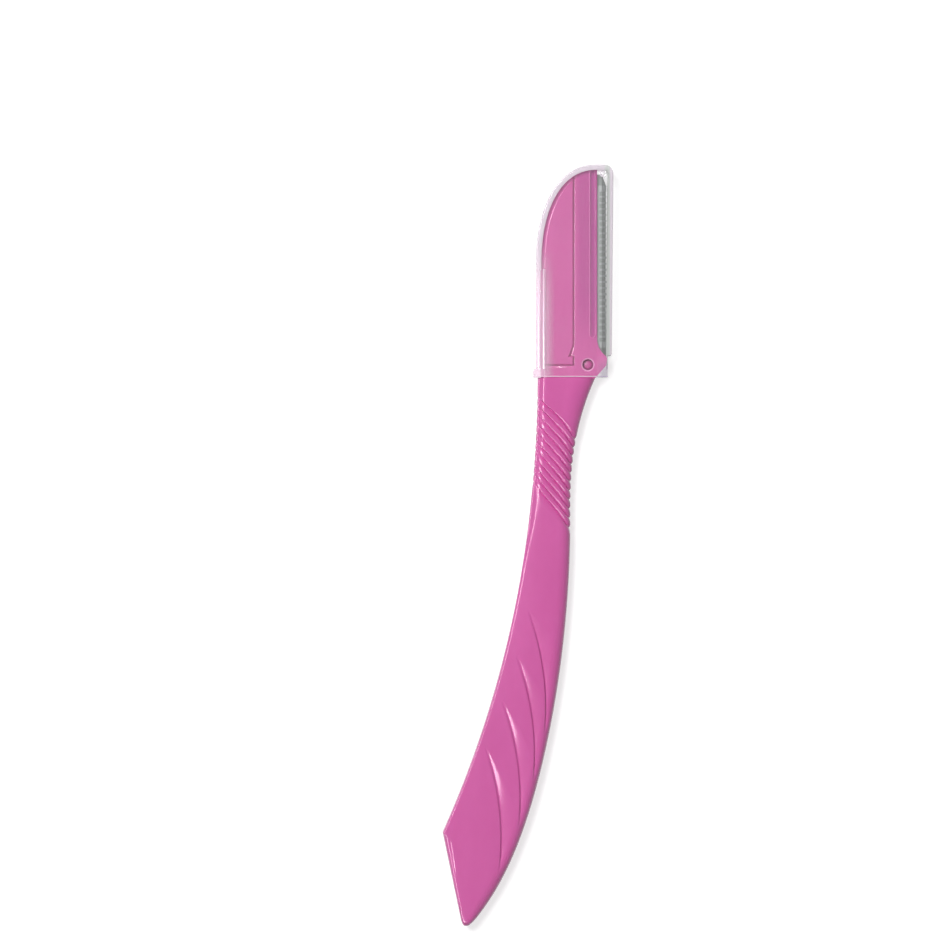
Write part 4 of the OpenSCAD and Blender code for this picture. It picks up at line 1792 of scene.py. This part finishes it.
@dataclass
class Studio:
    """White floor, a soft lamp at the upper left, a weak long one at the left, and the camera above.

    Lengths are metres.
    """

    image_w: float = 0.1857
    centre: Pair = (-0.0116, 0.0151)
    height: float = 0.9
    sensor_w: float = 36
    clip: Pair = (0.05, 10.0)
    floor_w: float = 3.0
    floor_t: float = 0.02
    key_place: Colour = (-0.476, 0.48, 1.236)
    key_size: Pair = (0.5, 0.5)
    strip_place: Colour = (-0.528, -0.226, 0.56)
    strip_size: Pair = (0.33, 1.3)
    power: float = 18.5
    ambient: float = 0.22

    def build(self) -> None:
        """Builds the stage, the light and the camera."""
        self._floor()
        self._world()
        self._lamp("key_light", self.key_place, self.key_size)
        self._lamp("strip_light", self.strip_place, self.strip_size).visible_diffuse = False
        self._camera()

    def _floor(self) -> None:
        """Adds the floor as a sheet with a thickness."""
        side = self.floor_w / 2 / MM
        floor = Form.prism("floor_sheet", rectangle(-side, -side, side, side), -self.floor_t / MM, 0)
        floor.thing.data.transform(Matrix.Scale(MM, 4))
        floor.thing.data.materials.append(StudioFloor().make())
        LOG.info("floor_sheet: stage")

    def _world(self) -> None:
        """Adds an even pale sky that is white to camera, glossy and transmission rays."""
        world = bpy.data.worlds.new("studio_world")
        bpy.context.scene.world = world
        book = NodeBook(world)
        seen = book.seen()
        strength = self.ambient + (1 - self.ambient) * seen.math("MINIMUM", seen, 1.0)
        book.close(book.add("ShaderNodeBackground", None, {"Color": (1, 1, 1, 1), "Strength": strength}))

    def _lamp(self, name: str, place: Colour, size: Pair) -> bpy.types.Object:
        """Adds an oblong soft lamp that points at the razor.

        Args:
            name: Name of the lamp.
            place: Its place.
            size: Its height and its level length.

        Returns:
            The lamp.
        """
        lamp = bpy.data.lights.new(name, "AREA")
        lamp.shape = "RECTANGLE"
        lamp.size, lamp.size_y = size
        lamp.energy = self.power
        thing = bpy.data.objects.new(name, lamp)
        thing.location = place
        aim = thing.location - Vector((*self.centre, 0))
        along = Vector((0, 0, 1)).cross(aim).normalized()
        across = along.cross(aim).normalized()
        thing.rotation_euler = Matrix((across, along, aim.normalized())).transposed().to_euler()
        bpy.context.scene.collection.objects.link(thing)
        return thing

    def _camera(self) -> None:
        """Adds a long lens straight above the razor, at the photograph's framing."""
        lens = bpy.data.cameras.new("camera")
        lens.sensor_width = self.sensor_w
        lens.lens = self.sensor_w * self.height / self.image_w
        lens.clip_start, lens.clip_end = self.clip
        camera = bpy.data.objects.new("camera", lens)
        camera.location = (*self.centre, self.height)
        bpy.context.scene.collection.objects.link(camera)
        bpy.context.scene.camera = camera


def local_origin() -> Vector:
    """Place of the local frame's origin in the row frame, in metres.

    Returns:
        The origin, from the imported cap's box.
    """
    low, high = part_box("blade_cap")
    cap = BladeCap()
    right = cap.inner_right + cap.rim_wall + cap.flare
    return Vector((high.x - right * MM, high.y - cap.top * MM, (low.z + high.z) / 2))


ORIGIN = local_origin()


def main() -> None:
    """Builds the razor, the cap and the studio."""
    logging.basicConfig(level=logging.INFO, format="%(name)s: %(message)s")
    bpy.context.scene.view_settings.view_transform = "Standard"
    plastic = BodyPlastic().make()
    steel = GroundSteel("blade_steel", (0.18, 0.2, 0.19), (0.145, 0.166, 0.154), 0.22, (260, 9000, 260))
    foil = GroundSteel("guard_foil", (0.250, 0.270, 0.262), (0.212, 0.232, 0.224), 0.3, (5200, 700, 700))
    plate = ClearPlastic(
        "clear_plate",
        colour=(0.95, 0.84, 0.92),
        glancing_shade_colour=(0.52, 0.46, 0.55),
        steel_colour=(0.7, 0.72, 0.7),
        veil=0.035,
        # Painted highlight over the spine.
        spine_highlight=0.28,
        edge_veil=0.6,
        roughness=0.06,
        haze=0.02,
    )
    # The rim's milky cover and colour are painted light, in place of the light that its clear wall refracts
    # and reflects.
    rim = ClearPlastic(
        "clear_rim",
        colour=(0.72, 0.63, 0.72),
        glancing_shade_colour=(0.55, 0.49, 0.57),
        steel_colour=(0.56, 0.59, 0.57),
        veil=0.6,
        spine_highlight=0.0,
        edge_veil=0.30,
        roughness=0.12,
        haze=0.06,
    )
    HandleMoulding().build(plastic)
    LockFlap().build(plastic)
    LivingHinge().build(plastic)
    BladeStake().build(MeltedPlastic().make())
    BladeStrip().build(steel.make())
    EdgeGuard().build(foil.make())
    BladeCap().build(rim.make(), plate.make())
    Studio().build()


if __name__ == "__main__":
    main()
